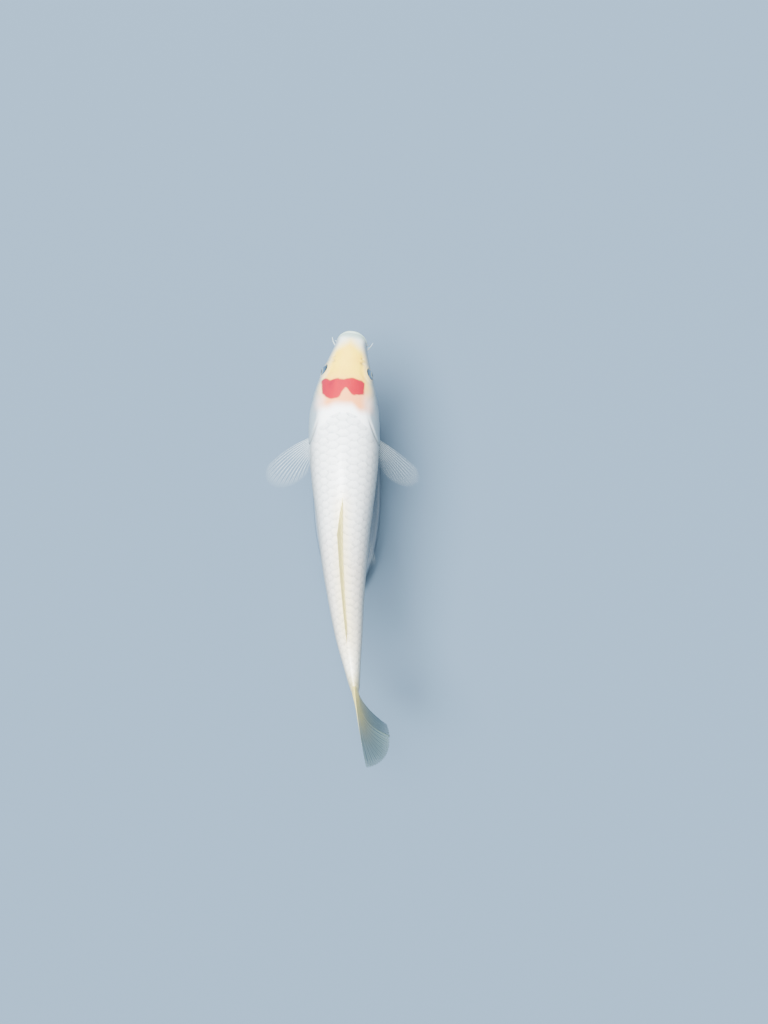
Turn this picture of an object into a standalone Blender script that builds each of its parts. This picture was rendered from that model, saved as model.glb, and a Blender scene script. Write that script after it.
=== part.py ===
"""A koi carp at life size, swimming with a gentle bend, on a small display stand.

Frame: +X runs to the head, +Y to the fish's left, +Z up, in metres. The origin is the
centre of the stand's underside. Inside the script a point of the fish is first given as
(back, left, up): how far behind the snout, how far to the left of the spine and how far
above it. place() then bends that straight fish into its swimming pose.
"""

import math

import bmesh
import bpy
from mathutils import Vector

MM = 0.001

# Driving dimensions, in millimetres
BODY_END = 185.0  # from the snout to the end of the fleshy tail root
TAIL_TIP = 220.0  # from the snout to the tip of the upper tail lobe, along its ray
SNOUT_X = 78.0  # how far the snout is ahead of the stand's centre
AXIS_HEIGHT = 66.0  # from the floor to the fish's spine line
GAP = 0.3  # clearance between pieces that touch
FIN_THICKNESS = 0.7

# The fish's lines. Each row is a station: how far it is behind the snout, then the half
# width, and the heights of the back, the belly and the widest level above the spine line.
STATIONS = (
    (0.7, 6.9, -1.0, -11.5, -6.4),
    (8.0, 8.1, 4.2, -13.6, -5.2),
    (17.0, 10.9, 8.8, -16.2, -3.8),
    (28.0, 14.4, 13.4, -18.8, -2.6),
    (44.0, 17.6, 18.8, -22.0, -1.5),
    (60.0, 17.7, 22.6, -24.2, -0.6),
    (78.0, 16.3, 24.6, -25.0, 0.0),
    (96.0, 14.0, 24.0, -24.3, 0.0),
    (117.0, 11.6, 20.6, -20.6, 0.0),
    (138.0, 9.0, 15.9, -15.2, 0.0),
    (156.0, 6.7, 12.2, -11.4, 0.0),
    (170.0, 4.3, 10.6, -10.2, 0.0),
    (185.0, 2.1, 11.2, -11.0, 0.0),
)
MUZZLE_ROUND = 5.0  # length over which the muzzle rounds off
TAIL_ROUND = 5.0  # the same at the end of the tail root
HEAD_SQUARENESS = 0.5  # how much fuller than an ellipse the head's sections are
HEAD_FADE = 34.0  # where that fullness has mostly gone
HEAD_DETAIL = 1.55  # above 1, the sections stand closer together towards the snout

# The pose: the head turns a little to the fish's right, and the tail sweeps that way too
HEAD_TURN = 4.4
HEAD_TURN_END = 47.0
TAIL_SWEEP = 0.00086  # millimetres of sweep for each squared millimetre past its start
TAIL_SWEEP_START = 100.0

# Where the body is parted, behind the snout
CUTS = (51.5, 92.0, 140.0)

EYE = (24.0, 3.7)  # behind the snout, above the spine line
EYE_RADIUS = 4.0
EYE_DEPTH = 3.4  # how far the ball's centre lies under the cheek

GILL_COVER = (44.0, -2.0)  # a point inside its outline, behind the snout and above the spine line
GILL_COVER_REACH = (11.5, 14.3, 15.5)  # from there to its front, its rear and its top
GILL_COVER_THICKNESS = 1.8

# The lips: the name, the level at the middle and at the corners, how far the middle is
# behind the snout, and the half width
LIPS = (
    ("lip_upper", -4.9, -7.2, 1.2, 5.6),
    ("lip_lower", -8.15, -9.9, 2.5, 5.1),
)
LIP_CORNER = 6.6  # how far the corners of the mouth are behind the snout
LIP_RADIUS = 1.5

# The feelers' paths on the fish's left, and their radius at the root and at the tip
LONG_BARBEL = ((8.6, 5.6, -8.6), (8.2, 7.4, -9.0), (7.0, 8.8, -9.6), (5.2, 9.9, -10.3), (3.2, 10.7, -11.0))
SHORT_BARBEL = ((6.9, 5.8, -4.0), (6.4, 7.4, -4.6), (6.0, 8.3, -5.8), (5.8, 8.7, -7.2))
LONG_BARBEL_RADII = (0.55, 0.28)
SHORT_BARBEL_RADII = (0.42, 0.28)

ROD_RADIUS = 1.6
ROD_PLACES = (60.0, 112.0)  # behind the snout
ROD_SOCKET = 9.0  # how deep a rod goes into the body
BASE_LENGTH = 116.0
BASE_WIDTH = 38.0
BASE_THICKNESS = 8.0
BASE_SOCKET = 5.0
BASE_EDGE = 1.2


# ---------------------------------------------------------------- the fish's own lines


def through(knots):
    """A smooth function through (place, value) knots: cubic pieces with averaged slopes."""
    places = [k[0] for k in knots]
    values = [k[1] for k in knots]
    steps = [(values[i + 1] - values[i]) / (places[i + 1] - places[i]) for i in range(len(knots) - 1)]
    slopes = [steps[0]] + [(a + b) / 2 for a, b in zip(steps, steps[1:])] + [steps[-1]]

    def value(place):
        place = min(max(place, places[0]), places[-1])
        i = min(sum(p <= place for p in places[1:]), len(steps) - 1)
        span = places[i + 1] - places[i]
        t = (place - places[i]) / span
        bend = (1 - t) * (slopes[i] - steps[i]) - t * (slopes[i + 1] - steps[i])
        return values[i] + (values[i + 1] - values[i]) * t + span * t * (1 - t) * bend

    return value


HALF_WIDTH, BACK, BELLY, WIDEST = (through([(row[0], row[k]) for row in STATIONS]) for k in (1, 2, 3, 4))
FRONT = STATIONS[0][0]
MOUTH_LEVEL = STATIONS[0][4]


def round_off(back, grow):
    """How far a section has opened at this station: 0 at the muzzle and the tail's end, 1 between."""
    from_front = min((back - FRONT + grow) / MUZZLE_ROUND, 1.0)
    from_end = min((BODY_END + grow - back) / TAIL_ROUND, 1.0)
    return math.sqrt(max(0.0, 1 - (1 - from_front) ** 2)) * math.sqrt(max(0.0, 1 - (1 - from_end) ** 2))


def on_body(back, turn, grow=0.0):
    """(left, up) of the surface at a station; turn is 0 at the left side, 90 degrees at the back."""
    opened = round_off(back, grow)
    power = 2 / (2 + HEAD_SQUARENESS * math.exp(-((back / HEAD_FADE) ** 2)))
    c, s = math.cos(turn), math.sin(turn)
    across = math.copysign(abs(c) ** power, c)
    upright = math.copysign(abs(s) ** power, s)
    edge = BACK(back) + grow if s > 0 else BELLY(back) - grow
    level = WIDEST(back)
    left = (HALF_WIDTH(back) + grow) * across
    up = level + (edge - level) * abs(upright)
    centre = MOUTH_LEVEL if back < CUTS[0] else level
    return left * opened, centre + (up - centre) * opened


def sideways(back):
    """How far the spine has moved to the fish's right at this station."""
    head = max(0.0, 1 - back / HEAD_TURN_END) ** 1.6
    tail = max(0.0, back - TAIL_SWEEP_START) ** 2
    return HEAD_TURN * head + TAIL_SWEEP * tail


def place(back, left, up):
    """A point of the straight fish, in millimetres, moved into the pose, in metres."""
    step = 0.5
    turn = math.atan((sideways(back + step) - sideways(back - step)) / (2 * step))
    x = SNOUT_X - back - left * math.sin(turn)
    y = left * math.cos(turn) - sideways(back)
    return Vector((x, y, AXIS_HEIGHT + up)) * MM


# ---------------------------------------------------------------- the fins' surfaces


def mix(a, b, t):
    return a + (b - a) * t


def fan(root_front, root_rear, sweep, droop, length, bow, u, v):
    """A point of a paired fin. u runs over the rays from the leading one, v from root to margin.

    sweep is (first, last) ray's angle back from straight out, in degrees, droop how far
    below level they point, and bow how much a ray arches forward between its ends.
    """
    back, left, up = (mix(f, r, u) for f, r in zip(root_front, root_rear))
    angle = math.radians(mix(sweep[0], sweep[1], u))
    dip = math.radians(droop)
    reach = length * v
    arch = length * bow * v * (1 - v)
    out = reach * math.cos(angle) + arch * math.sin(angle)
    aft = reach * math.sin(angle) - arch * math.cos(angle)
    lowered = reach * math.sin(dip) * (0.6 + 0.4 * v)
    return back + aft * math.cos(dip), left + out * math.cos(dip), up - lowered


PECTORAL_ROOT = ((52.0, 12.6, -12.5), (56.5, 11.6, -16.5))  # of the first ray and of the last
PELVIC_ROOT = ((93.0, 6.6, -20.0), (98.0, 4.2, -20.2))
PECTORAL = {
    "left": {"sweep": (30.0, 64.0), "droop": 11.0, "bow": 0.24, "length": 39.5},
    "right": {"sweep": (34.0, 63.0), "droop": 20.0, "bow": 0.1, "length": 39.0},
}
PELVIC = {
    "left": {"sweep": (79.0, 92.0), "droop": 16.0, "bow": 0.15, "length": 28.5},
    "right": {"sweep": (70.0, 86.0), "droop": 12.0, "bow": 0.15, "length": 28.5},
}


def pectoral(side, u, v):
    fin = PECTORAL[side]
    length = fin["length"] * (1 - 0.6 * u**2.4) * (1 - 0.16 * (1 - u) ** 5)
    return fan(*PECTORAL_ROOT, fin["sweep"], fin["droop"], length, fin["bow"], u, v)


def pelvic(side, u, v):
    fin = PELVIC[side]
    length = fin["length"] * (1 - 0.5 * u**2)
    return fan(*PELVIC_ROOT, fin["sweep"], fin["droop"], length, fin["bow"], u, v)


DORSAL_ROOT = (84.0, 147.0)
DORSAL_RAYS = (22.5, 12.0)  # length of the first and last ray
DORSAL_RISE = 17.0  # degrees between a folded ray and the back
DORSAL_LEAN = 24.0  # degrees that the folded fin leans to the left


def dorsal(u, v):
    """The folded back fin: its rays lie back along the ridge and lean to the fish's left."""
    root = mix(DORSAL_ROOT[0], DORSAL_ROOT[1], u)
    length = mix(DORSAL_RAYS[0], DORSAL_RAYS[1], u**0.8)
    rise = math.radians(DORSAL_RISE) * (1 - 0.25 * u)
    back = root + length * v * math.cos(rise)
    height = length * v * math.sin(rise)
    lean = math.radians(DORSAL_LEAN) * min(1.0, 2 * v)
    sunk = 1.4 * (1 - v)
    return back, height * math.sin(lean), BACK(min(back, BODY_END)) - sunk + height * math.cos(lean)


ANAL_ROOT = (135.0, 149.0)
ANAL_RAYS = (25.0, 10.0)
ANAL_DOWN = (52.0, 26.0)  # degrees below the spine line, first and last ray


def anal(u, v):
    root = mix(ANAL_ROOT[0], ANAL_ROOT[1], u)
    length = mix(ANAL_RAYS[0], ANAL_RAYS[1], u**0.75)
    down = math.radians(mix(ANAL_DOWN[0], ANAL_DOWN[1], u))
    back = root + length * v * math.cos(down)
    return back, -2.0 * v * v, BELLY(root) + 1.5 - (length * v + 1.0) * math.sin(down)


TAIL_ROOT = 178.0
TAIL_ROOT_HALF = 9.6
TAIL_FORK = 0.61  # length of the middle rays, as a share of the upper lobe's
LOWER_LOBE = 0.85
TAIL_UP = 32.0  # degrees, upper edge
TAIL_DOWN = 38.0  # degrees, lower edge
TAIL_BOW = 0.6  # how much the outer rays arch away from the middle
TAIL_BILLOW = 12.8  # how far the lower lobe swings to the fish's right
TAIL_CURL = 0.53  # the share of the fin, from its upper edge, over which that swing grows


def tail_fin(u, v):
    """The tail fin: u runs from its upper edge to its lower one. The upper lobe lies over to the right."""
    longest = TAIL_TIP - TAIL_ROOT
    tip = longest if u < 0.5 else longest * LOWER_LOBE
    length = mix(longest * TAIL_FORK, tip, abs(2 * u - 1) ** 0.85)
    angle = math.radians(mix(TAIL_UP, -TAIL_DOWN, u**0.9))
    arch = TAIL_BOW * length * v * (1 - v) * (1 - 2 * u)
    back = TAIL_ROOT + 3.0 * math.sin(math.pi * u) + length * v * math.cos(angle) - arch * math.sin(angle)
    up = TAIL_ROOT_HALF * (1 - 2 * u) + length * v * math.sin(angle) + arch * math.cos(angle)
    swing = TAIL_BILLOW * (1 - max(0.0, 1 - u / TAIL_CURL) ** 2)
    return back, -(0.3 + swing) * v**3.2, up


# ---------------------------------------------------------------- making objects


def material(name, colour, roughness, metallic=0.0):
    made = bpy.data.materials.new(name)
    made.use_nodes = True
    shader = made.node_tree.nodes["Principled BSDF"]
    shader.inputs["Base Color"].default_value = (*colour, 1.0)
    shader.inputs["Roughness"].default_value = roughness
    shader.inputs["Metallic"].default_value = metallic
    made.diffuse_color = (*colour, 1.0)
    return made


def add_object(name, bm, finish=None, smooth=True):
    """Turns a bmesh into a named object; without a finish it is a cutter, which the build leaves out."""
    mesh = bpy.data.meshes.new(name)
    bm.to_mesh(mesh)
    bm.free()
    if smooth:
        mesh.shade_smooth()
        mesh.set_sharp_from_angle(angle=math.radians(50))
    made = bpy.data.objects.new(name, mesh)
    bpy.context.scene.collection.objects.link(made)
    if finish is None:
        made.hide_render = True
        made.display_type = "WIRE"
    else:
        mesh.materials.append(finish)
    return made


def boolean(target, cutter, operation="DIFFERENCE"):
    step = target.modifiers.new(operation.lower(), "BOOLEAN")
    step.operation = operation
    step.object = cutter
    step.solver = "EXACT"
    return target


def body_shape(grow=0.0, around=30, along=42):
    """The whole body as one closed skin: a sphere whose poles are the snout and the tail root."""
    bm = bmesh.new()
    bmesh.ops.create_uvsphere(bm, u_segments=around, v_segments=along, radius=1.0)
    length = BODY_END - FRONT + 2 * grow
    for vert in bm.verts:
        share = math.acos(max(-1.0, min(1.0, vert.co.z))) / math.pi
        turn = math.atan2(vert.co.y, vert.co.x)
        back = FRONT - grow + length * share**HEAD_DETAIL
        vert.co = place(back, *on_body(back, turn, grow))
    return bm


def block(name, back_from, back_to):
    """A cutter that holds the stretch of the fish between two stations."""
    bm = bmesh.new()
    bmesh.ops.create_cube(bm, size=1.0)
    middle, length = (back_from + back_to) / 2, back_to - back_from
    bmesh.ops.scale(bm, vec=Vector((length, 120.0, 120.0)) * MM, verts=bm.verts)
    bmesh.ops.translate(bm, vec=Vector((SNOUT_X - middle, 0.0, AXIS_HEIGHT)) * MM, verts=bm.verts)
    return add_object(name, bm, smooth=False)


def cylinder(radius, low, high, centre, sides=18):
    """A bmesh of an upright cylinder, from its lowest to its highest level, in millimetres."""
    bm = bmesh.new()
    size = {"radius1": radius, "radius2": radius, "depth": high - low}
    bmesh.ops.create_cone(bm, cap_ends=True, segments=sides, **size)
    bmesh.ops.translate(bm, vec=(centre[0], centre[1], (low + high) / 2), verts=bm.verts)
    bmesh.ops.scale(bm, vec=(MM, MM, MM), verts=bm.verts)
    return bm


def tube(name, path, radii, finish=None, sides=3):
    """A tapered round bar along a path of (back, left, up) points, as a mesh object."""
    curve = bpy.data.curves.new(name, "CURVE")
    curve.dimensions = "3D"
    curve.bevel_depth = MM
    curve.bevel_resolution = sides - 1
    curve.use_fill_caps = True
    spline = curve.splines.new("POLY")
    spline.points.add(len(path) - 1)
    for point, spot, radius in zip(spline.points, path, radii):
        point.co = (*place(*spot), 1.0)
        point.radius = radius
    holder = bpy.data.objects.new(name, curve)
    bm = bmesh.new()
    bm.from_mesh(bpy.data.meshes.new_from_object(holder))
    bpy.data.objects.remove(holder)
    bmesh.ops.remove_doubles(bm, verts=bm.verts, dist=0.00001)
    bmesh.ops.recalc_face_normals(bm, faces=bm.faces)
    return add_object(name, bm, finish)


def fin(name, surface, finish, columns, rows, mirrored=False):
    """A thin curved plate over surface(u, v), trimmed to stand just clear of the body."""
    bm = bmesh.new()
    bmesh.ops.create_grid(bm, x_segments=columns, y_segments=rows, size=0.5)
    for vert in bm.verts:
        back, left, up = surface(vert.co.x + 0.5, vert.co.y + 0.5)
        vert.co = place(back, -left if mirrored else left, up)
    made = add_object(name, bm, finish)
    plate = made.modifiers.new("plate", "SOLIDIFY")
    plate.thickness = FIN_THICKNESS * MM
    plate.offset = 0.0
    return made


# ---------------------------------------------------------------- the pieces


def make_body(finishes, mouth_and_eyes, gill_recess, sockets):
    """The head, the two lengths of trunk and the tail stalk, cut from one shape."""
    spans = (
        ("head", finishes["head"], -5.0, CUTS[0], [*mouth_and_eyes, gill_recess]),
        ("trunk_front", finishes["body"], CUTS[0] + GAP, CUTS[1], [sockets[0], gill_recess]),
        ("trunk_rear", finishes["body"], CUTS[1] + GAP, CUTS[2], [sockets[1]]),
        ("tail_stalk", finishes["body"], CUTS[2] + GAP, BODY_END + 10.0, []),
    )
    for name, finish, start, end, cutters in spans:
        piece = add_object(name, body_shape(), finish)
        for cutter in cutters:
            boolean(piece, cutter)
        boolean(piece, block("span_" + name, start, end), "INTERSECT")


def gill_outline(grow):
    """A bmesh bar across the whole fish with the gill covers' outline, seen from the side.

    The outline is a circle, drawn out to a full corner high at the rear and pulled in low
    at the rear, where the pectoral fin comes out from behind it.
    """
    bm = bmesh.new()
    bmesh.ops.create_circle(bm, cap_ends=True, segments=28, radius=1.0)
    for vert in bm.verts:
        ahead, behind, high = (reach + grow for reach in GILL_COVER_REACH)
        corner = 1 + (0.32 if vert.co.y > 0 else 0.54) * vert.co.y
        across = behind * corner if vert.co.x > 0 else ahead
        back = GILL_COVER[0] + across * vert.co.x
        up = GILL_COVER[1] + high * vert.co.y * (0.98 + 0.06 * vert.co.y)
        vert.co = Vector((SNOUT_X - back, -30.0, AXIS_HEIGHT + up)) * MM
    across = bmesh.ops.extrude_face_region(bm, geom=bm.faces[:])
    moved = [g for g in across["geom"] if isinstance(g, bmesh.types.BMVert)]
    bmesh.ops.translate(bm, vec=Vector((0.0, 60.0, 0.0)) * MM, verts=moved)
    bmesh.ops.recalc_face_normals(bm, faces=bm.faces)
    return bm


def make_gill_covers(finish):
    """Two thin plates of the flank's own surface; returns the cutter for the recess under them."""
    inner = add_object("under_gill_covers", body_shape(-GILL_COVER_THICKNESS, around=18, along=26))
    deeper = add_object("under_gill_gap", body_shape(-GILL_COVER_THICKNESS - GAP, around=18, along=26))
    recess = boolean(add_object("gill_recess", gill_outline(GAP)), deeper)
    outline = add_object("gill_outline", gill_outline(0.0))
    for side, sign in (("left", 1), ("right", -1)):
        half = bmesh.new()
        bmesh.ops.create_cube(half, size=1.0)
        bmesh.ops.translate(half, vec=(0.0, 0.5 * sign, 0.0), verts=half.verts)
        bmesh.ops.scale(half, vec=(0.4, 0.1, 0.4), verts=half.verts)
        keep = add_object("half_" + side, half, smooth=False)
        cover = add_object("gill_cover_" + side, body_shape(), finish)
        boolean(cover, outline, "INTERSECT")
        boolean(cover, keep, "INTERSECT")
        boolean(cover, inner)
    return recess


def make_lips(finish):
    """Two soft rolls round the front of the muzzle, meeting at the corners of the mouth."""
    cutters = []
    steps = 10
    for name, top, corner, front, half in LIPS:
        path, radii = [], []
        for i in range(steps + 1):
            turn = math.pi * i / steps
            rise = math.sin(turn)
            path.append((mix(LIP_CORNER, front, rise**0.8), half * math.cos(turn), mix(corner, top, rise)))
            radii.append(LIP_RADIUS * (0.62 + 0.38 * rise))
        tube(name, path, radii, finish, sides=4)
        cutters.append(tube("round_" + name, path, [r + GAP for r in radii], sides=4))
    return cutters


def eyeball(radius, centre, sign):
    """A bmesh of a ball whose pole looks out to the fish's side."""
    bm = bmesh.new()
    bmesh.ops.create_uvsphere(bm, u_segments=16, v_segments=10, radius=radius * MM)
    outwards = Vector((0, sign, 0)).to_track_quat("Z", "X").to_matrix()
    bmesh.ops.rotate(bm, cent=(0, 0, 0), matrix=outwards, verts=bm.verts)
    bmesh.ops.translate(bm, vec=centre, verts=bm.verts)
    return bm


def make_eyes(finish):
    """Two eyeballs; returns the cutters for their round sockets."""
    cutters = []
    back, up = EYE
    level = (up - WIDEST(back)) / (BACK(back) - WIDEST(back))
    cheek = on_body(back, math.asin(level ** (1 + HEAD_SQUARENESS / 2)))[0]
    for side, sign in (("left", 1), ("right", -1)):
        centre = place(back, sign * (cheek - EYE_DEPTH), up)
        add_object("eye_" + side, eyeball(EYE_RADIUS, centre, sign), finish)
        cutters.append(add_object("socket_" + side, eyeball(EYE_RADIUS + GAP, centre, sign)))
    return cutters


def make_barbels(finish, clear_of):
    """A long pair of feelers at the corners of the mouth and a short pair above them."""
    pairs = (
        ("barbel_long_", LONG_BARBEL, LONG_BARBEL_RADII),
        ("barbel_short_", SHORT_BARBEL, SHORT_BARBEL_RADII),
    )
    for side, sign in (("left", 1), ("right", -1)):
        for name, points, (root, tip) in pairs:
            path = [(back, sign * left, up) for back, left, up in points]
            radii = [mix(root, tip, i / (len(path) - 1)) for i in range(len(path))]
            made = tube(name + side, path, radii, finish, sides=3)
            for cutter in clear_of:
                boolean(made, cutter)


def make_fins(finish, clear_of):
    """The seven fins, each trimmed at its root by the slightly grown body."""
    made = [
        fin("tail_fin", tail_fin, finish, 16, 8),
        fin("dorsal_fin", dorsal, finish, 16, 4),
        fin("anal_fin", anal, finish, 8, 6),
    ]
    for side in ("left", "right"):
        mirrored = side == "right"
        made.append(fin("pectoral_fin_" + side, lambda u, v: pectoral(side, u, v), finish, 10, 8, mirrored))
        made.append(fin("pelvic_fin_" + side, lambda u, v: pelvic(side, u, v), finish, 8, 6, mirrored))
    for each in made:
        boolean(each, clear_of)


def make_stand(finishes):
    """An oval base with two short rods; returns the cutters for the rods' sockets in the body."""
    bm = bmesh.new()
    bmesh.ops.create_circle(bm, cap_ends=True, segments=44, radius=0.5)
    bmesh.ops.scale(bm, vec=Vector((BASE_LENGTH, BASE_WIDTH, 1.0)) * MM, verts=bm.verts)
    raised = bmesh.ops.extrude_face_region(bm, geom=bm.faces[:])
    moved = [g for g in raised["geom"] if isinstance(g, bmesh.types.BMVert)]
    bmesh.ops.translate(bm, vec=(0.0, 0.0, BASE_THICKNESS * MM), verts=moved)
    bmesh.ops.recalc_face_normals(bm, faces=bm.faces)
    base = add_object("stand_base", bm, finishes["base"])
    edge = base.modifiers.new("edge", "BEVEL")
    edge.width = BASE_EDGE * MM
    edge.segments = 2
    edge.limit_method = "ANGLE"
    sockets = []
    for name, back in zip(("front", "rear"), ROD_PLACES):
        centre = place(back, 0.0, 0.0) / MM
        foot = BASE_THICKNESS - BASE_SOCKET
        head = AXIS_HEIGHT + BELLY(back) + ROD_SOCKET
        hole = cylinder(ROD_RADIUS + GAP, foot - GAP, 2 * BASE_THICKNESS, centre)
        boolean(base, add_object("base_hole_" + name, hole))
        add_object("stand_rod_" + name, cylinder(ROD_RADIUS, foot, head, centre), finishes["rod"])
        socket = cylinder(ROD_RADIUS + GAP, foot, head + GAP, centre)
        sockets.append(add_object("body_hole_" + name, socket))
    return sockets


def main():
    for old in list(bpy.data.objects):
        bpy.data.objects.remove(old)
    finishes = {
        "head": material("yellow_white_head_skin", (0.86, 0.80, 0.56), 0.35),
        "body": material("white_scaled_skin", (0.86, 0.88, 0.88), 0.35),
        "gill": material("pale_gill_cover", (0.80, 0.82, 0.80), 0.35),
        "lip": material("pale_lip", (0.74, 0.78, 0.74), 0.4),
        "eye": material("dark_eye", (0.05, 0.06, 0.08), 0.1),
        "fin": material("clear_fin_membrane", (0.62, 0.70, 0.72), 0.35),
        "base": material("grey_plastic_base", (0.72, 0.74, 0.75), 0.5),
        "rod": material("steel_rod", (0.62, 0.62, 0.62), 0.3, metallic=1.0),
    }
    sockets = make_stand(finishes)
    lips = make_lips(finishes["lip"])
    eyes = make_eyes(finishes["eye"])
    gill_recess = make_gill_covers(finishes["gill"])
    make_body(finishes, [*lips, *eyes], gill_recess, sockets)
    clear = add_object("body_clearance", body_shape(grow=GAP))
    make_fins(finishes["fin"], clear)
    make_barbels(finishes["lip"], (clear, *lips))


main()
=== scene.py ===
# %% [markdown]
# # A young koi carp on a display stand
#
# The real animal is a white koi, 22 cm long, with a red mark between its eyes, caught in the middle of a swim.
# A museum would cast it, paint it and hold it up on two rods over a small base, and that is what is built here.
# The CAD frame gives the place of every part. The script repeats the named lines that the frame was drawn with,
# so that skin, scales and fins fall exactly where the solids are.

# %% Load the frame
import math

import bmesh
import bpy
import numpy as np
from mathutils import Matrix, Vector


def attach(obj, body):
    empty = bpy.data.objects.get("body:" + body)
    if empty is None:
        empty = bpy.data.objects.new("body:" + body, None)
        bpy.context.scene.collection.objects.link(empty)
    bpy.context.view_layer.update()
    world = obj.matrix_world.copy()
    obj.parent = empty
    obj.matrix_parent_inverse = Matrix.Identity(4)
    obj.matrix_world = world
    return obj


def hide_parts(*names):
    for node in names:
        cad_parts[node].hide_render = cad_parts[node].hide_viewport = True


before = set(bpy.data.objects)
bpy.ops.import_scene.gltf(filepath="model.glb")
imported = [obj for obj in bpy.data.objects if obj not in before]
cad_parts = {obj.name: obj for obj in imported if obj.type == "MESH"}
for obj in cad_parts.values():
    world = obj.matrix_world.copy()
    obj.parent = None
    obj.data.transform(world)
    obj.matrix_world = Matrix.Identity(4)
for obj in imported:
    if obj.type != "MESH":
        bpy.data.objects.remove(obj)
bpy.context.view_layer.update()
print("frame:", len(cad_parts), "nodes")

# %% [markdown]
# ## The camera
#
# A camera straight above a fish shows its outline, but not how it lies in space. This one stands half a metre over
# the back, a little to the fish's right and behind its middle, and leans forward by a few degrees. It comes first,
# because every other choice is judged through it. The lens is a normal one, neither wide nor long, so the back
# bulges towards the eye just as it would for a visitor who leans over the model.

# %% Camera
MM = 0.001
AXIS_HEIGHT = 66.0  # the fish's spine line, in millimetres above the floor
CAMERA_REACH = 512.0
AIM = Vector((-15.0, -20.0, AXIS_HEIGHT + 2.0))
LEAN_FORWARD = math.radians(3.0)
LEAN_RIGHT = math.radians(0.67)

camera_data = bpy.data.cameras.new("camera")
camera_data.lens = 36.0
camera_data.sensor_width = 36.0
camera = bpy.data.objects.new("camera", camera_data)
bpy.context.scene.collection.objects.link(camera)
backwards = -Vector((math.tan(LEAN_FORWARD), -math.tan(LEAN_RIGHT), -1.0)).normalized()
rightwards = Vector((1.0, 0.0, 0.0)).cross(backwards).normalized()
upwards = backwards.cross(rightwards)
placed = Matrix((rightwards, upwards, backwards)).transposed().to_4x4()
placed.translation = (AIM + backwards * CAMERA_REACH) * MM
camera.matrix_world = placed
bpy.context.scene.camera = camera
print("camera at", [round(c, 3) for c in camera.location])

# %% [markdown]
# ## Floor and light
#
# A pale floor with a touch of blue sets off a white animal, as grey card does in a museum's catalogue. The light is
# soft: one broad sky light from overhead, a little to the fish's left, two weak lamps from the right and the front,
# and a pale world round them. A sun with a very wide angle does the first, because it lights the floor evenly out
# to the horizon, which a lamp can't. It is strong, because only a bright light shows white skin as white, and the
# floor's paint is a middle tone that comes out pale under it.

# %% Colours from hex
# Blender's sockets hold linear colour, so each hex code is turned to linear once, here.
def paint(code):
    """An sRGB hex colour as the linear colour that Blender's sockets hold."""
    parts = [int(code[i : i + 2], 16) / 255 for i in (1, 3, 5)]
    return (*[p / 12.92 if p <= 0.04045 else ((p + 0.055) / 1.055) ** 2.4 for p in parts], 1.0)


# %% A node with its settings and links
def connect(material, node, inputs):
    """Sets a node's inputs, by socket name or number, to values or to other nodes' outputs."""
    for key, value in inputs.items():
        if isinstance(value, bpy.types.NodeSocket):
            material.node_tree.links.new(value, node.inputs[key])
        else:
            node.inputs[key].default_value = value


def add(material, kind, inputs=None, out=0, stops=(), **settings):
    """Adds one shader node and gives one of its outputs. A ramp's stops are (position, colour) pairs."""
    node = material.node_tree.nodes.new("ShaderNode" + kind)
    for name, value in settings.items():
        setattr(node, name, value)
    connect(material, node, inputs or {})
    for index, (position, colour) in enumerate(stops):
        stop = node.color_ramp.elements[index] if index < 2 else node.color_ramp.elements.new(position)
        stop.position = position
        stop.color = colour
    return node.outputs[out]


def new_material(name):
    """An empty node material and its surface shader."""
    made = bpy.data.materials.new(name)
    made.use_nodes = True
    print("material", name)
    return made, made.node_tree.nodes["Principled BSDF"]


# %% The scale of a pattern
def grain(size):
    """The noise scale whose grains are this many millimetres across, on coordinates in metres."""
    return 1 / (size * MM)


# %% Floor
def make_floor():
    bm = bmesh.new()
    bmesh.ops.create_grid(bm, x_segments=1, y_segments=1, size=3.0)
    mesh = bpy.data.meshes.new("floor")
    bm.to_mesh(mesh)
    bm.free()
    floor = bpy.data.objects.new("floor", mesh)
    bpy.context.scene.collection.objects.link(floor)
    # Matt card scatters light evenly, so only soft shadows show on it.
    card, shader = new_material("matt_card_floor")
    connect(card, shader, {"Base Color": paint("#465b6d"), "Roughness": 0.9})
    mesh.materials.append(card)


make_floor()

# %% Lamps and world
SKY_WIDTH = math.radians(42)
LAMPS = (
    # name, kind, where it stands, power, and its size or how much of the sky it fills
    ("broad_sky_overhead", "SUN", (0.05, 0.24, 0.95), 21.0, SKY_WIDTH),
    ("fill_lamp_right", "AREA", (-0.25, -0.75, 0.55), 2.5, 0.60),
    ("rim_lamp_front", "AREA", (0.80, 0.05, 0.35), 3.0, 0.40),
)
for name, kind, spot, power, size in LAMPS:
    lamp = bpy.data.lights.new(name, kind)
    setattr(lamp, "angle" if kind == "SUN" else "size", size)
    lamp.energy = power
    holder = bpy.data.objects.new(name, lamp)
    bpy.context.scene.collection.objects.link(holder)
    holder.location = spot
    holder.rotation_euler = (Vector((0.0, 0.0, 0.06)) - Vector(spot)).to_track_quat("-Z", "Y").to_euler()
world = bpy.data.worlds.new("pale_room")
world.use_nodes = True
world.node_tree.nodes["Background"].inputs[0].default_value = paint("#eef2f6")
world.node_tree.nodes["Background"].inputs[1].default_value = 0.6
bpy.context.scene.world = world
print("lamps:", len(LAMPS))

# %% [markdown]
# ## The fish's own lines
#
# A fish is easiest to draw straight. Each station gives the half width, the back, the belly and the widest level,
# and a smooth curve joins them. A point of the straight fish is (back, left, up): how far behind the snout, how far
# to the left of the spine and how far above it, in millimetres. place() bends that fish into its swimming pose. The
# numbers are the frame's own. NumPy works them out for thousands of points at once.

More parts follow.
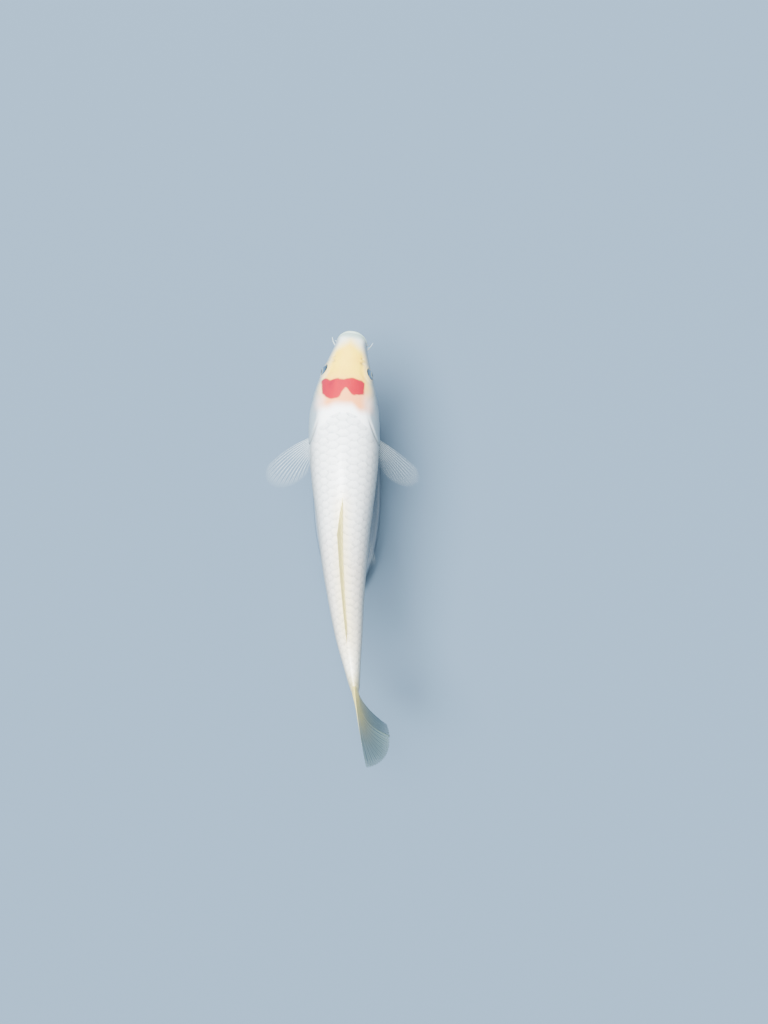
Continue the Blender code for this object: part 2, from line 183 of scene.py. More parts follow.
# %% Stations and pose
SNOUT_X = 78.0
BODY_END = 185.0
TAIL_TIP = 220.0
STATIONS = (
    # behind the snout, half width, back, belly, widest level
    (0.7, 6.9, -1.0, -11.5, -6.4),
    (8.0, 8.1, 4.2, -13.6, -5.2),
    (17.0, 10.9, 8.8, -16.2, -3.8),
    (28.0, 14.4, 13.4, -18.8, -2.6),
    (44.0, 17.6, 18.8, -22.0, -1.5),
    (60.0, 17.7, 22.6, -24.2, -0.6),
    (78.0, 16.3, 24.6, -25.0, 0.0),
    (96.0, 14.0, 24.0, -24.3, 0.0),
    (117.0, 11.6, 20.6, -20.6, 0.0),
    (138.0, 9.0, 15.9, -15.2, 0.0),
    (156.0, 6.7, 12.2, -11.4, 0.0),
    (170.0, 4.3, 10.6, -10.2, 0.0),
    (185.0, 2.1, 11.2, -11.0, 0.0),
)
MUZZLE_ROUND = 5.0  # both ends of the body are rounded over this length
TAIL_ROUND = 5.0
HEAD_SQUARENESS = 0.5  # the head's section is a little squarer than an ellipse, which fades towards the trunk
HEAD_FADE = 34.0
HEAD_END = 51.5  # ahead of here the body closes on the mouth's level, and behind it on the widest level
HEAD_TURN = 4.4  # the snout points this far to the fish's right
HEAD_TURN_END = 47.0
TAIL_SWEEP = 0.00086  # the spine's swing to the right grows with the square of the way from its start
TAIL_SWEEP_START = 100.0
SLOPE_STEP = 0.02  # short steps along the body and round it, from which a slope is measured
TURN_STEP = 0.01
INSIDE_ENDS = 4.0  # how far inside the body's ends its middle line stops
print("straight fish:", TAIL_TIP, "mm from snout to tail tip,", len(STATIONS), "stations")


# %% A smooth curve through knots
def through(knots):
    """A smooth function through (place, value) knots: cubic pieces with averaged slopes."""
    places, values = np.array(knots, float).T
    steps = np.diff(values) / np.diff(places)
    slopes = np.concatenate((steps[:1], (steps[:-1] + steps[1:]) / 2, steps[-1:]))

    def value(place):
        place = np.clip(place, places[0], places[-1])
        i = np.clip(np.searchsorted(places, place, side="right") - 1, 0, len(steps) - 1)
        span = places[i + 1] - places[i]
        t = (place - places[i]) / span
        bend = (1 - t) * (slopes[i] - steps[i]) - t * (slopes[i + 1] - steps[i])
        return values[i] + (values[i + 1] - values[i]) * t + span * t * (1 - t) * bend

    return value


HALF_WIDTH, BACK, BELLY, WIDEST = (through([(row[0], row[k]) for row in STATIONS]) for k in (1, 2, 3, 4))
FRONT = STATIONS[0][0]
MOUTH_LEVEL = STATIONS[0][4]


def smooth(low, high, value):
    """0 below low, 1 above high, and an even rise between."""
    t = np.clip((value - low) / (high - low), 0, 1)
    return t * t * (3 - 2 * t)


def mix(a, b, t):
    """A value between two others: a where t is 0, b where t is 1."""
    return a + (b - a) * t


# %% The body's surface
def on_body(back, turn):
    """(back, left, up) on the straight body; turn is 0 at the left side and a quarter turn at the back."""
    opened = np.sqrt(1 - (1 - np.clip((back - FRONT) / MUZZLE_ROUND, 0, 1)) ** 2)
    opened = opened * np.sqrt(1 - (1 - np.clip((BODY_END - back) / TAIL_ROUND, 0, 1)) ** 2)
    power = 2 / (2 + HEAD_SQUARENESS * np.exp(-((back / HEAD_FADE) ** 2)))
    c, s = np.cos(turn), np.sin(turn)
    across = np.sign(c) * np.abs(c) ** power
    level = WIDEST(back)
    up = level + (np.where(s > 0, BACK(back), BELLY(back)) - level) * np.abs(s) ** power
    centre = np.where(back < HEAD_END, MOUTH_LEVEL, level)
    return np.stack((back + 0 * turn, HALF_WIDTH(back) * across * opened, centre + (up - centre) * opened), -1)


def outward(back, turn):
    """The direction straight out of the straight body's surface."""
    inside = np.clip(back, FRONT + SLOPE_STEP, BODY_END - SLOPE_STEP)
    along = on_body(inside + SLOPE_STEP, turn) - on_body(inside - SLOPE_STEP, turn)
    round_it = on_body(inside, turn + TURN_STEP) - on_body(inside, turn - TURN_STEP)
    normal = np.cross(round_it, along)
    normal /= np.linalg.norm(normal, axis=-1, keepdims=True) + 1e-12
    near = np.clip(inside, FRONT + INSIDE_ENDS, BODY_END - INSIDE_ENDS)
    axis = np.stack((near, 0 * inside, WIDEST(inside)), -1)
    facing = np.sum(normal * (on_body(inside, turn) - axis), -1, keepdims=True)
    return np.where(facing < 0, -normal, normal)


# %% Bending the straight fish into its pose
def sideways(back):
    """How far the spine has moved to the fish's right at this station."""
    head = np.clip(1 - back / HEAD_TURN_END, 0, None) ** 1.6
    tail = np.clip(back - TAIL_SWEEP_START, 0, None) ** 2
    return HEAD_TURN * head + TAIL_SWEEP * tail


def place(points):
    """(back, left, up) points of the straight fish, moved into the pose, in metres."""
    back, left, up = np.moveaxis(points, -1, 0)
    turn = np.arctan(sideways(back + 0.5) - sideways(back - 0.5))
    x = SNOUT_X - back - left * np.sin(turn)
    return np.stack((x, left * np.cos(turn) - sideways(back), AXIS_HEIGHT + up), -1) * MM


print("widest at the shoulder:", round(2 * float(HALF_WIDTH(np.array(55.0))), 1), "mm")

# %% [markdown]
# ## One skin for the whole body
#
# On the real fish one skin runs without a seam from the lips to the tail. It could be sculpted, or built by
# subdividing a cage. Here a sphere is pulled out into the fish instead: its poles become the mouth and the tail
# root, its rings become stations, and each point then moves in or out for the small forms. That keeps every form a
# named size. The rings stand a third of a millimetre apart on the head, where the small forms are.

# %% Where the smooth head ends
NAPE = 41.0
SHOULDER = 58.0
EDGE_SPREAD = math.radians(70)


def head_edge(turn):
    """How far behind the snout the scales begin: soonest on the nape, last at the gill cover and below it."""
    from_back = np.abs(np.arctan2(np.cos(turn), np.sin(turn)))
    return NAPE + (SHOULDER - NAPE) * np.clip(from_back / EDGE_SPREAD, 0, 1) ** 1.5


def bump(value, centre, width, height=1.0):
    """A soft ridge, this high at its centre, or a groove where the height is below zero."""
    return height * np.exp(-(((value - centre) / width) ** 2))


def folded(spots):
    """The points with the fish's right side mirrored onto its left."""
    return np.where((False, True, False), np.abs(spots), spots)


print("scales begin", NAPE, "mm behind the snout on the nape, and", SHOULDER, "mm at the gill cover")

# %% Lips, with a fold above them
MOUTH_MIDDLE = -6.5
MOUTH_DROP = 2.0
MOUTH_HALF = 5.6
LIPS_FADE = (5.6, 8.6)
# Each is (above the mouth's line, half its width, how far it stands out).
UPPER_LIP, LOWER_LIP = (1.3, 1.0, 0.85), (-1.3, 0.9, 0.4)
MOUTH_SLIT, LIP_FOLD = (0.0, 0.32, -1.7), (3.0, 0.45, -0.35)
LIP_FOLD_SHADE = 0.45


def mouth_forms(back, left, up):
    """How far the skin stands out at the lips, and how much painted shade each point gets in the mouth's creases.
    """
    near = 1 - smooth(*LIPS_FADE, back)
    above = up - (MOUTH_MIDDLE - MOUTH_DROP * (left / MOUTH_HALF) ** 2)
    lift = near * sum(bump(above, *form) for form in (UPPER_LIP, LOWER_LIP, MOUTH_SLIT, LIP_FOLD))
    return lift, near * (bump(above, *MOUTH_SLIT[:2]) + LIP_FOLD_SHADE * bump(above, *LIP_FOLD[:2]))


# %% The gill cover
GILL_CENTRE = (44.0, -2.0)
GILL_AHEAD, GILL_BEHIND, GILL_HIGH = 11.5, 14.3, 15.5
GILL_FLAP = 0.26
GILL_SLIT_DEPTH = 0.85
GILL_SEAM_DEPTH = 0.08
CHEEK_GROOVE = 37.5
CHEEK_GROOVE_DEPTH = 0.2


def gill_share(back, up):
    """The share of the way from the gill cover's centre to its outline, and the direction taken.

    The outline is an oval whose rear reaches further out above than below. How far depends on the direction on the
    oval itself, so a few rounds bring the two together.
    """
    across, high = back - GILL_CENTRE[0], (up - GILL_CENTRE[1]) / GILL_HIGH
    x, y = across / GILL_BEHIND, high
    for _ in range(8):
        share = np.hypot(x, y) + 1e-9
        rise = y / share
        corner = np.where(across > 0, 1 + np.where(rise > 0, 0.32, 0.54) * rise, GILL_AHEAD / GILL_BEHIND)
        x = across / (GILL_BEHIND * corner)
        y = high / (0.98 + 0.06 * rise)
    return share, x / share, y / share


def gill_forms(back, up):
    """A thin flap that is free along its rear and lower edge and only a seam in front, and a groove before it."""
    share, x, y = gill_share(back, up)
    # From this direction on the flap is free: soonest below, where it runs forward to the throat.
    start = -0.6 + 0.75 * smooth(-0.3, 0.5, y)
    free = smooth(start, start + 0.35, x)
    slit = free * bump(share, 1.035, 0.024)
    shade = free * bump(share, 1.04, 0.046)
    seam = (1 - free) * bump(share, 1.0, 0.05)
    flap = free * smooth(0.6, 0.96, share) * (1 - smooth(0.985, 1.02, share))
    groove_at = CHEEK_GROOVE - 0.045 * np.clip(-4 - up, 0, None) ** 2
    groove = bump(back, groove_at, 0.55) * smooth(-13, -8, up) * (1 - smooth(2, 6, up))
    lift = GILL_FLAP * flap - GILL_SLIT_DEPTH * slit - GILL_SEAM_DEPTH * seam - CHEEK_GROOVE_DEPTH * groove
    # The second value is painted shade in the slit, on the seam and in the groove.
    return lift, shade + 0.12 * seam + 0.25 * groove


# %% Eye sockets
EYE_BACK, EYE_UP = 24.0, 3.7
EYE_RADIUS = 4.0
EYE_DEPTH = 3.4
SOCKET_EDGE = (2.35, 3.0)
SOCKET_DEPTH = 1.9
# Each is (away from the eye's axis, half its width, how far it stands out).
LID, LID_FOOT, LID_GROOVE = (3.3, 0.42, 0.36), (4.2, 0.9, 0.12), (5.9, 0.9, -0.16)
level = (EYE_UP - WIDEST(EYE_BACK)) / (BACK(EYE_BACK) - WIDEST(EYE_BACK))
eye_turn = math.asin(level ** (1 + HEAD_SQUARENESS * math.exp(-((EYE_BACK / HEAD_FADE) ** 2)) / 2))
cheek = on_body(np.array(EYE_BACK), math.asin(level ** (1 + HEAD_SQUARENESS / 2)))[1]
EYE_CENTRE = np.array((EYE_BACK, float(cheek) - EYE_DEPTH, EYE_UP))
EYE_AXIS = outward(np.array(EYE_BACK), np.array(eye_turn))
print("eye centre", EYE_CENTRE.round(2), "looks along", EYE_AXIS.round(2))


def eye_forms(spots):
    """A hole for the ball, with a raised lid round it."""
    arm = folded(spots) - EYE_CENTRE
    ahead = np.sum(arm * EYE_AXIS, -1)
    away = np.linalg.norm(arm - ahead[..., None] * EYE_AXIS, axis=-1)
    away = np.where(ahead > 0, away, np.inf)
    lift = sum(bump(away, *form) for form in (LID, LID_FOOT, LID_GROOVE))
    lift = lift - SOCKET_DEPTH * (1 - smooth(*SOCKET_EDGE, away))
    # The second value is painted shade round the socket's rim and at the lid's foot.
    return lift, bump(away, 2.95, 0.3) + 0.3 * bump(away, 4.0, 0.4)


# %% Nostrils: a small pit, a flap and a larger pit on each side
NOSTRILS = (
    # behind the snout, out from the middle, half length, half width, how far it stands out, painted shade in the
    # pit
    (15.9, 7.1, 0.55, 0.55, -0.55, 0.5),
    (16.95, 7.1, 0.441, 0.9375, 0.42, 0.0),
    (18.2, 7.45, 0.75, 0.9375, -0.75, 0.6),
)


def nostril_forms(back, left, up):
    """How far the skin stands out at the nostrils, and how much painted shade each point gets in the pits."""
    lift, crease_shade = 0.0, 0.0
    for behind, out, half_length, half_width, height, shade in NOSTRILS:
        away = np.hypot((back - behind) / half_length, (np.abs(left) - out) / half_width)
        spot = bump(away, 0.0, 1.0) * smooth(0.0, 2.0, up)
        lift = lift + height * spot
        crease_shade = crease_shade + shade * spot
    return lift, crease_shade


# %% Throat folds, and swells where the fins are rooted
PECTORAL_ROOT = ((52.0, 12.6, -12.5), (56.5, 11.6, -16.5))
PELVIC_ROOT = ((93.0, 6.6, -20.0), (98.0, 4.2, -20.2))
PECTORAL_SWELL, PELVIC_SWELL = (0.0, 1.7, 0.55), (0.0, 1.5, 0.5)
THROAT_FOLD_DEPTH = 0.45
CHIN_GROOVE_DEPTH = 0.12
VENT = 130.5
VENT_PIT, VENT_RIM = (0.0, 0.5, -0.5), (1.1, 0.45, 0.25)


def distance_to(spots, line):
    """How far each point is from a straight line between two points, on either side of the fish."""
    start, end = np.array(line)
    arm, along = folded(spots) - start, end - start
    share = np.clip(np.sum(arm * along, -1) / np.dot(along, along), 0, 1)
    return np.linalg.norm(arm - share[..., None] * along, axis=-1)


def underside_forms(spots):
    """Two folds along the throat, a groove under the chin, the swollen roots of the paired fins, and the vent."""
    back, left, up = np.moveaxis(spots, -1, 0)
    below = smooth(-11.0, -14.0, up)
    throat = below * smooth(17, 22, back) * (1 - smooth(43, 50, back))
    fold = throat * bump(np.abs(left), 2.2 + 0.27 * (back - 20), 0.42)
    chin = below * smooth(9, 12, back) * (1 - smooth(18, 22, back)) * bump(left, 0.0, 1.2)
    roots = bump(distance_to(spots, PECTORAL_ROOT), *PECTORAL_SWELL)
    roots = roots + bump(distance_to(spots, PELVIC_ROOT), *PELVIC_SWELL)
    from_vent = np.hypot(back - VENT, left)
    under = smooth(0, -4, up)
    vent = under * (bump(from_vent, *VENT_PIT) + bump(from_vent, *VENT_RIM))
    lift = roots + vent - THROAT_FOLD_DEPTH * fold - CHIN_GROOVE_DEPTH * chin
    # The second value is painted shade in the throat folds and the vent's pit.
    return lift, 0.8 * fold + 0.8 * under * bump(from_vent, *VENT_PIT[:2])


# %% The skin's own surface
HEAD_SKIN_DEPTH = 0.05
SCALED_SKIN_DEPTH = 0.4
FIN_RIDGE = (0.0, 1.3, 0.3)
UNEVENNESS = 0.05
CREASE_SHADE_STRENGTH = 0.88


def skin_points(back, turn):
    """Points of the skin on the straight fish, and how much painted shade each one gets in creases and pits."""
    spots = on_body(back, turn)
    left, up = spots[..., 1], spots[..., 2]
    scaled = smooth(0.0, 7.0, back - head_edge(turn))
    lift = -HEAD_SKIN_DEPTH - (SCALED_SKIN_DEPTH - HEAD_SKIN_DEPTH) * scaled
    forms = (
        mouth_forms(back, left, up),
        gill_forms(back, up),
        eye_forms(spots),
        nostril_forms(back, left, up),
        underside_forms(spots),
    )
    lift = lift + sum(form[0] for form in forms)
    lift += bump(left, *FIN_RIDGE) * smooth(80, 88, back) * (1 - smooth(147, 154, back)) * (up > 0)
    waves = np.sin(back * 0.43 + 3 * np.sin(turn)) * np.sin(3 * turn + back * 0.19)
    lift += UNEVENNESS * waves * smooth(8, 20, back)
    # All the forms' creases and pits add up to painted shade.
    crease_shade = CREASE_SHADE_STRENGTH * np.clip(sum(form[1] for form in forms), 0, 1)
    return spots + outward(back, turn) * lift[..., None], crease_shade


# %% From points to a piece
def set_points(mesh, metres):
    mesh.vertices.foreach_set("co", np.ascontiguousarray(metres, np.float32).ravel())
    mesh.update()


def get_points(mesh):
    flat = np.empty(3 * len(mesh.vertices), np.float32)
    mesh.vertices.foreach_get("co", flat)
    return flat.reshape(-1, 3).astype(float)


def set_attribute(mesh, name, values):
    made = mesh.attributes.new(name, "FLOAT", "POINT")
    made.data.foreach_set("value", np.ascontiguousarray(values, np.float32).ravel())


def add_piece(name, mesh, material, slot, *nodes):
    """Links a mesh as a smooth piece that rides on the model's one body and stands for CAD nodes."""
    mesh.materials.append(material)
    if not mesh.attributes.get("sharp_edge"):
        mesh.shade_smooth()
    piece = bpy.data.objects.new(name, mesh)
    bpy.context.scene.collection.objects.link(piece)
    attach(piece, "root")
    if nodes:
        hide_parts(*nodes)
    triangles = sum(len(face.vertices) - 2 for face in mesh.polygons)
    print(name, triangles, "triangles")
    return piece


def mesh_from(bm, name):
    mesh = bpy.data.meshes.new(name)
    bm.to_mesh(mesh)
    bm.free()
    return mesh


def turn_outwards(mesh):
    """Turns every face of a closed mesh outwards again, after its points were moved."""
    bm = bmesh.new()
    bm.from_mesh(mesh)
    bmesh.ops.recalc_face_normals(bm, faces=bm.faces)
    bm.to_mesh(mesh)
    bm.free()


def flat_plate(name, columns, rows, size):
    """A grid closed into a thin plate, ready to be laid over a curved surface."""
    bm = bmesh.new()
    bmesh.ops.create_grid(bm, x_segments=columns, y_segments=rows, size=size)
    bmesh.ops.solidify(bm, geom=bm.faces[:], thickness=0.1)
    bmesh.ops.recalc_face_normals(bm, faces=bm.faces)
    return mesh_from(bm, name)


def copies(name, one, count):
    """This many copies of a small mesh in one, all still in the same place."""
    bm = bmesh.new()
    for _ in range(count):
        bm.from_mesh(one)
    return mesh_from(bm, name)


# %% The skin's rings
# They crowd at both ends. Between, they lie a third of a millimetre apart on the head and 1 mm apart behind it.
AROUND = 232
HEAD_RINGS_END = 61.0
quarter = np.linspace(0, np.pi / 2, 29)
end_quarter = np.linspace(np.pi / 2, 0, 8)
RINGS = np.concatenate((
    FRONT + MUZZLE_ROUND * (1 - np.cos(quarter)),
    np.linspace(FRONT + MUZZLE_ROUND, HEAD_RINGS_END, 168)[1:],
    np.linspace(HEAD_RINGS_END, BODY_END - TAIL_ROUND, 120)[1:],
    BODY_END - TAIL_ROUND * (1 - np.cos(end_quarter))[1:],
))


def make_skin_mesh():
    bm = bmesh.new()
    bmesh.ops.create_uvsphere(bm, u_segments=AROUND, v_segments=len(RINGS) - 1, radius=1.0)
    mesh = mesh_from(bm, "skin")
    ball = get_points(mesh)
    ring = np.rint(np.arccos(np.clip(ball[:, 2], -1, 1)) / np.pi * (len(RINGS) - 1)).astype(int)
    back, turn = RINGS[ring], np.arctan2(ball[:, 1], ball[:, 0])
    spots, crease_shade = skin_points(back, turn)
    set_points(mesh, place(spots))
    set_attribute(mesh, "crease_shade", crease_shade)
    return mesh, on_body(back, turn)


skin_mesh, skin_spots = make_skin_mesh()
print("skin:", len(RINGS), "rings of", AROUND, "points")

# %% [markdown]
# ## The markings
#
# The fish has a red mark like a pair of goggles over its eyes, a cream crown in front of it, a faint orange halo
# behind it, and a pearly white body that turns a little warmer towards the tail. Grey painted shade darkens the
# head's sides and the flanks. An image could carry these, but numbers on the skin's own points are sharper here and
# stay with the surface. The mark is a signed distance in millimetres, so the shader can give its edge any softness.

# %% The mark's outline
MARK_RIGHT, MARK_LEFT, MARK_LEFT_SLANT = 9.5, 12.4, 0.17
FAR_OUTSIDE = -9.0
# Each pair is (left of the middle, behind the snout), along the mark's front edge and then its rear edge.
MARK_FRONT = through((
    (-9.4, 28.7), (-8.5, 28.1), (-6.4, 27.6), (-2.9, 26.9), (-0.9, 27.5), (1.2, 28.2),
    (4.4, 27.8), (5.3, 28.1), (7.4, 28.9), (10.1, 28.0), (11.0, 28.1), (12.4, 29.0),
))  # fmt: skip
MARK_REAR = through((
    (-9.4, 35.2), (-6.4, 35.8), (-4.2, 36.0), (-2.9, 34.9), (-2.0, 33.9), (-0.5, 32.6), (0.6, 33.6),
    (1.5, 35.2), (2.3, 37.3), (4.5, 38.3), (7.1, 38.5), (9.9, 36.8), (11.6, 35.2),
))  # fmt: skip


def mark_distance(spots):
    """Millimetres inside the red mark's outline, below zero outside."""
    back, left, up = np.moveaxis(spots, -1, 0)
    rear_slope = (MARK_REAR(left + 0.1) - MARK_REAR(left - 0.1)) / 0.2
    front = back - MARK_FRONT(left)
    rear = (MARK_REAR(left) - back) / np.sqrt(1 + rear_slope**2)
    ends = np.minimum(left + MARK_RIGHT, MARK_LEFT - MARK_LEFT_SLANT * (back - 28) - left)
    return np.where(up > 0, np.minimum(np.minimum(front, rear), ends), FAR_OUTSIDE)


set_attribute(skin_mesh, "mark", mark_distance(skin_spots))

# %% The cream crown, the halo, the lips, the gill covers and painted shade on the head's sides
# Each is a share from 0 to 1, drawn with soft edges by millimetres behind the snout and by how far aside it lies.
back, left, up = np.moveaxis(skin_spots, -1, 0)
aside = np.abs(left) / HALF_WIDTH(back)
crown_start = 1.0 + 7.0 * aside
crown = smooth(crown_start, crown_start + 9.5, back) * (1 - smooth(31.0, 40.0, back))
crown = crown * (1 - smooth(0.6, 1.0, aside)) * smooth(-4, 3, up)
halo_end = 41.5 + 1.6 * smooth(3.5, 8.5, left) + 3.3 * smooth(3.5, 8.5, -left)
halo = smooth(23.0, 34.0, back) * (1 - smooth(halo_end - 3, halo_end + 2.5, back))
halo = halo * (1 - smooth(0.45, 0.95, aside)) * (up > 0)
lips = (1 - smooth(3.4, 6.2, back)) * smooth(-13, -9, up)
share, across, rise = gill_share(back, up)
gill = 0.6 * (1 - smooth(0.9, 1.02, share)) * smooth(-0.7, 0.5, across) * smooth(-1.1, -0.2, rise)
# Towards the head's sides the same grey-blue is painted shade, darker where the sides turn from the light.
gill = gill + smooth(0.57, 0.97, aside) * smooth(1.0, 9.0, back) * (1 - smooth(54.0, 66.0, back))


def ridge_share(spots):
    """1 on the cream stripe along the back fin's root, 0 away from it."""
    back, left, up = np.moveaxis(spots, -1, 0)
    return bump(left, 0.4, 4.0) * smooth(78, 96, back) * (1 - smooth(150, 172, back)) * (up > 0)


def flank_shade_share(spots):
    """1 along the sides, where grey painted shade falls, and 0 on the back and the belly."""
    back, _, up = np.moveaxis(spots, -1, 0)
    high = (up - WIDEST(back)) / (BACK(back) - WIDEST(back))
    low = (up - WIDEST(back)) / (BELLY(back) - WIDEST(back))
    return (1 - smooth(0.15, 0.92, high)) * (1 - smooth(0.2, 0.9, low))


for name, values in (
    ("crown", crown),
    ("halo", halo),
    ("lips", lips),
    ("gill", np.clip(gill, 0, 1)),
    ("aside", np.clip(np.abs(left) / 12, 0, 1)),
    ("ridge", ridge_share(skin_spots)),
    ("flank", flank_shade_share(skin_spots)),
):
    set_attribute(skin_mesh, name, values)
print("marked points:", int((mark_distance(skin_spots) > 0).sum()))

# %% [markdown]
# ## The finish of skin and scales
#
# Wet fish skin is a thin clear layer of slime over pearly tissue that lets a little light in. A Principled shader
# with some subsurface light and a clear coat gives that. Skin and scales share one set of body colours, read from
# Object coordinates, so the tints run on from one to the other.

# %% The body's colours, shared by skin and scales
BANDS_LENGTH = 200.0
BANDS = (
    # behind the snout, as a share of the bands' length, and the colour there
    (0.0, paint("#c8d2ca")),
    (0.2, paint("#f3fafd")),
    (0.5, paint("#f8faf8")),
    (0.62, paint("#f0e8dd")),
    (0.78, paint("#f4eee0")),
    (0.85, paint("#fbf8e4")),
    (0.895, paint("#cdc48c")),
)
# The grey of the painted shade on the flanks.
FLANK_SHADE_GREY = paint("#939a9b")
RIDGE_CREAM = paint("#ecdcac")


def body_colour(material):
    """Cool white behind the head, warmer and slightly pink behind the back fin, cream at the tail root, and painted
    shade on the flanks.
    """
    place_on = add(material, "TexCoord", out="Object")
    ahead = add(material, "SeparateXYZ", {0: place_on})
    # Patches 18 mm across shift the bands by up to 8 mm either way, so none ends in a straight line.
    patches = add(material, "TexNoise", {"Vector": place_on, "Scale": grain(18.2), "Detail": 3.0, "Roughness": 0.5})
    shift = add(material, "Math", {0: patches, 1: 0.016, 2: -0.008}, operation="MULTIPLY_ADD")
    shifted = add(material, "Math", {0: ahead, 1: shift}, operation="ADD")
    along = add(material, "MapRange", {0: shifted, 1: SNOUT_X * MM, 2: (SNOUT_X - BANDS_LENGTH) * MM})
    white = add(material, "ValToRGB", {0: along}, stops=BANDS)
    # Painted shade: the flanks turn grey where the body's sides turn from the overhead light.
    flank = add(material, "Attribute", out="Fac", attribute_name="flank")
    white = add(material, "Mix", {0: flank, 6: white, 7: FLANK_SHADE_GREY}, out=2, data_type="RGBA")
    ridge = add(material, "Attribute", out="Fac", attribute_name="ridge")
    stripe = add(material, "Math", {0: ridge, 1: 0.85}, operation="MULTIPLY")
    return add(material, "Mix", {0: stripe, 6: white, 7: RIDGE_CREAM}, out=2, data_type="RGBA")


# %% Wet skin
# Slime-coated skin: the coat gives small sharp highlights over a softer satin shine, as on a fish just lifted out.
YELLOW = ((0.3, paint("#f6d21a")), (0.7, paint("#eec412")))
RED = ((0.3, paint("#960424")), (0.55, paint("#9e0822")), (0.75, paint("#8a0427")))


def make_skin_material():
    skin, shader = new_material("wet_koi_skin")
    place_on = add(skin, "TexCoord", out="Object")
    colour = body_colour(skin)
    gill, crown, halo, lips, inside, aside, crease_shade = (
        add(skin, "Attribute", out="Fac", attribute_name=name)
        for name in ("gill", "crown", "halo", "lips", "mark", "aside", "crease_shade")
    )
    # Clouds of pigment, 6 mm across.
    clouds = add(skin, "TexNoise", {"Vector": place_on, "Scale": grain(6.25), "Detail": 3.0})
    yellow = add(skin, "ValToRGB", {0: clouds}, stops=YELLOW)
    red = add(skin, "ValToRGB", {0: clouds}, stops=RED)
    crown = add(skin, "Math", {0: crown, 1: 0.98}, operation="MULTIPLY")
    # The mark's edge wanders in bends 2.4 mm long and is a millimetre soft. Its two ends are darker.
    bends = add(skin, "TexNoise", {"Vector": place_on, "Scale": grain(2.38), "Detail": 2.0})
    wander = add(skin, "Math", {0: bends, 1: 0.9, 2: -0.45}, operation="MULTIPLY_ADD")
    inside = add(skin, "Math", {0: inside, 1: wander}, operation="ADD")
    mark = add(skin, "MapRange", {0: inside, 1: -0.6, 2: 0.5}, interpolation_type="SMOOTHSTEP")
    end = add(skin, "MapRange", {0: aside, 1: 0.35, 2: 1.0, 4: 0.5})
    red = add(skin, "Mix", {0: end, 6: red, 7: paint("#76142f")}, out=2, data_type="RGBA")
    # Creases and pits get painted shade in a dark grey-blue.
    crease_shade = add(skin, "Math", {0: crease_shade, 1: 0.88}, operation="MULTIPLY")
    # The gill's grey-blue is also painted shade on the head's sides.
    for amount, tint in (
        (gill, paint("#82949e")),
        (crown, yellow),
        (halo, paint("#e4975e")),
        (lips, paint("#acc5bb")),
        (mark, red),
        (crease_shade, paint("#5b6467")),
    ):
        colour = add(skin, "Mix", {0: amount, 6: colour, 7: tint}, out=2, data_type="RGBA")
    # The skin's own grain is finer than 0.1 mm, too fine to show here, so it is drawn 1.1 mm across.
    pores = add(skin, "TexNoise", {"Vector": place_on, "Scale": grain(1.11), "Detail": 2.0})
    connect(skin, shader, {
        "Base Color": colour,
        "Roughness": add(skin, "MapRange", {0: pores, 1: 0.3, 2: 0.7, 3: 0.3, 4: 0.42}),
        "Normal": add(skin, "Bump", {"Height": pores, "Strength": 0.12, "Distance": 0.2 * MM}),
        "Subsurface Weight": 0.12,
        "Subsurface Radius": (1.0, 0.55, 0.4),
        "Subsurface Scale": 2 * MM,
        "Coat Weight": 0.2,
        "Coat Roughness": 0.12,
        "IOR": 1.34,
    })
    return skin


FLESH = (
    "head",
    "trunk_front",
    "trunk_rear",
    "tail_stalk",
    "gill_cover_left",
    "gill_cover_right",
    "lip_upper",
    "lip_lower",
)
add_piece("skin", skin_mesh, make_skin_material(), "head_skin", *FLESH)

# %% [markdown]
# ## Scales
#
# A koi's scales are thin overlapping plates, rooted at the front and free at the rear, in rows that run along the
# lateral line. Each next row is shifted by half a scale. They could be painted as a bump, but then the outline
# stays bare. Here every scale is a real plate of a few dozen faces, laid on the body by row and place. Above and
# below the lateral line the rows run parallel to it and end one by one at the back and the belly, as on a carp.

# %% The turn at which each row lies
TURN_STEPS = 120  # from the lateral line to the back, and as many to the belly
table_backs = np.linspace(30.0, BODY_END - TAIL_ROUND, 160)
table_turns = np.linspace(-np.pi / 2, np.pi / 2, 2 * TURN_STEPS + 1)
table_spots = on_body(table_backs[:, None], table_turns[None, :])
steps = np.linalg.norm(np.diff(table_spots, axis=1), axis=-1)
arc = np.concatenate((np.zeros((len(table_backs), 1)), np.cumsum(steps, 1)), 1)
middle = arc[:, TURN_STEPS : TURN_STEPS + 1]
arc_share = np.where(arc < middle, arc / middle - 1, (arc - middle) / (arc[:, -1:] - middle))
TURNS = np.array([np.interp(np.linspace(-1, 1, 2 * TURN_STEPS + 1), row, table_turns) for row in arc_share])


def turn_at(back, share):
    """The turn at a share of the way from the lateral line (0) up to the back (1) or down to the belly (-1)."""
    this_side = np.where(share > 1, 2 - share, np.where(share < -1, -2 - share, share))
    row = np.clip((back - table_backs[0]) / (table_backs[1] - table_backs[0]), 0, len(table_backs) - 1.001)
    column = np.clip((this_side + 1) * TURN_STEPS, 0, 2 * TURN_STEPS - 0.001)
    i, j = row.astype(int), column.astype(int)
    a, b = row - i, column - j
    turn = mix(mix(TURNS[i, j], TURNS[i, j + 1], b), mix(TURNS[i + 1, j], TURNS[i + 1, j + 1], b), a)
    return np.where(np.abs(share) > 1, np.pi - turn, turn)


# %% One scale
# It is three faces long and eight wide. ALONG and ACROSS run from -1 to 1, and TOP marks its outer side.
template = flat_plate("one_scale", 3, 8, 1.0)
template_points = get_points(template)
ALONG, ACROSS = template_points[:, 0], template_points[:, 1]
TOP = template_points[:, 2] > template_points[:, 2].mean()
print("one scale:", len(template.polygons), "faces")

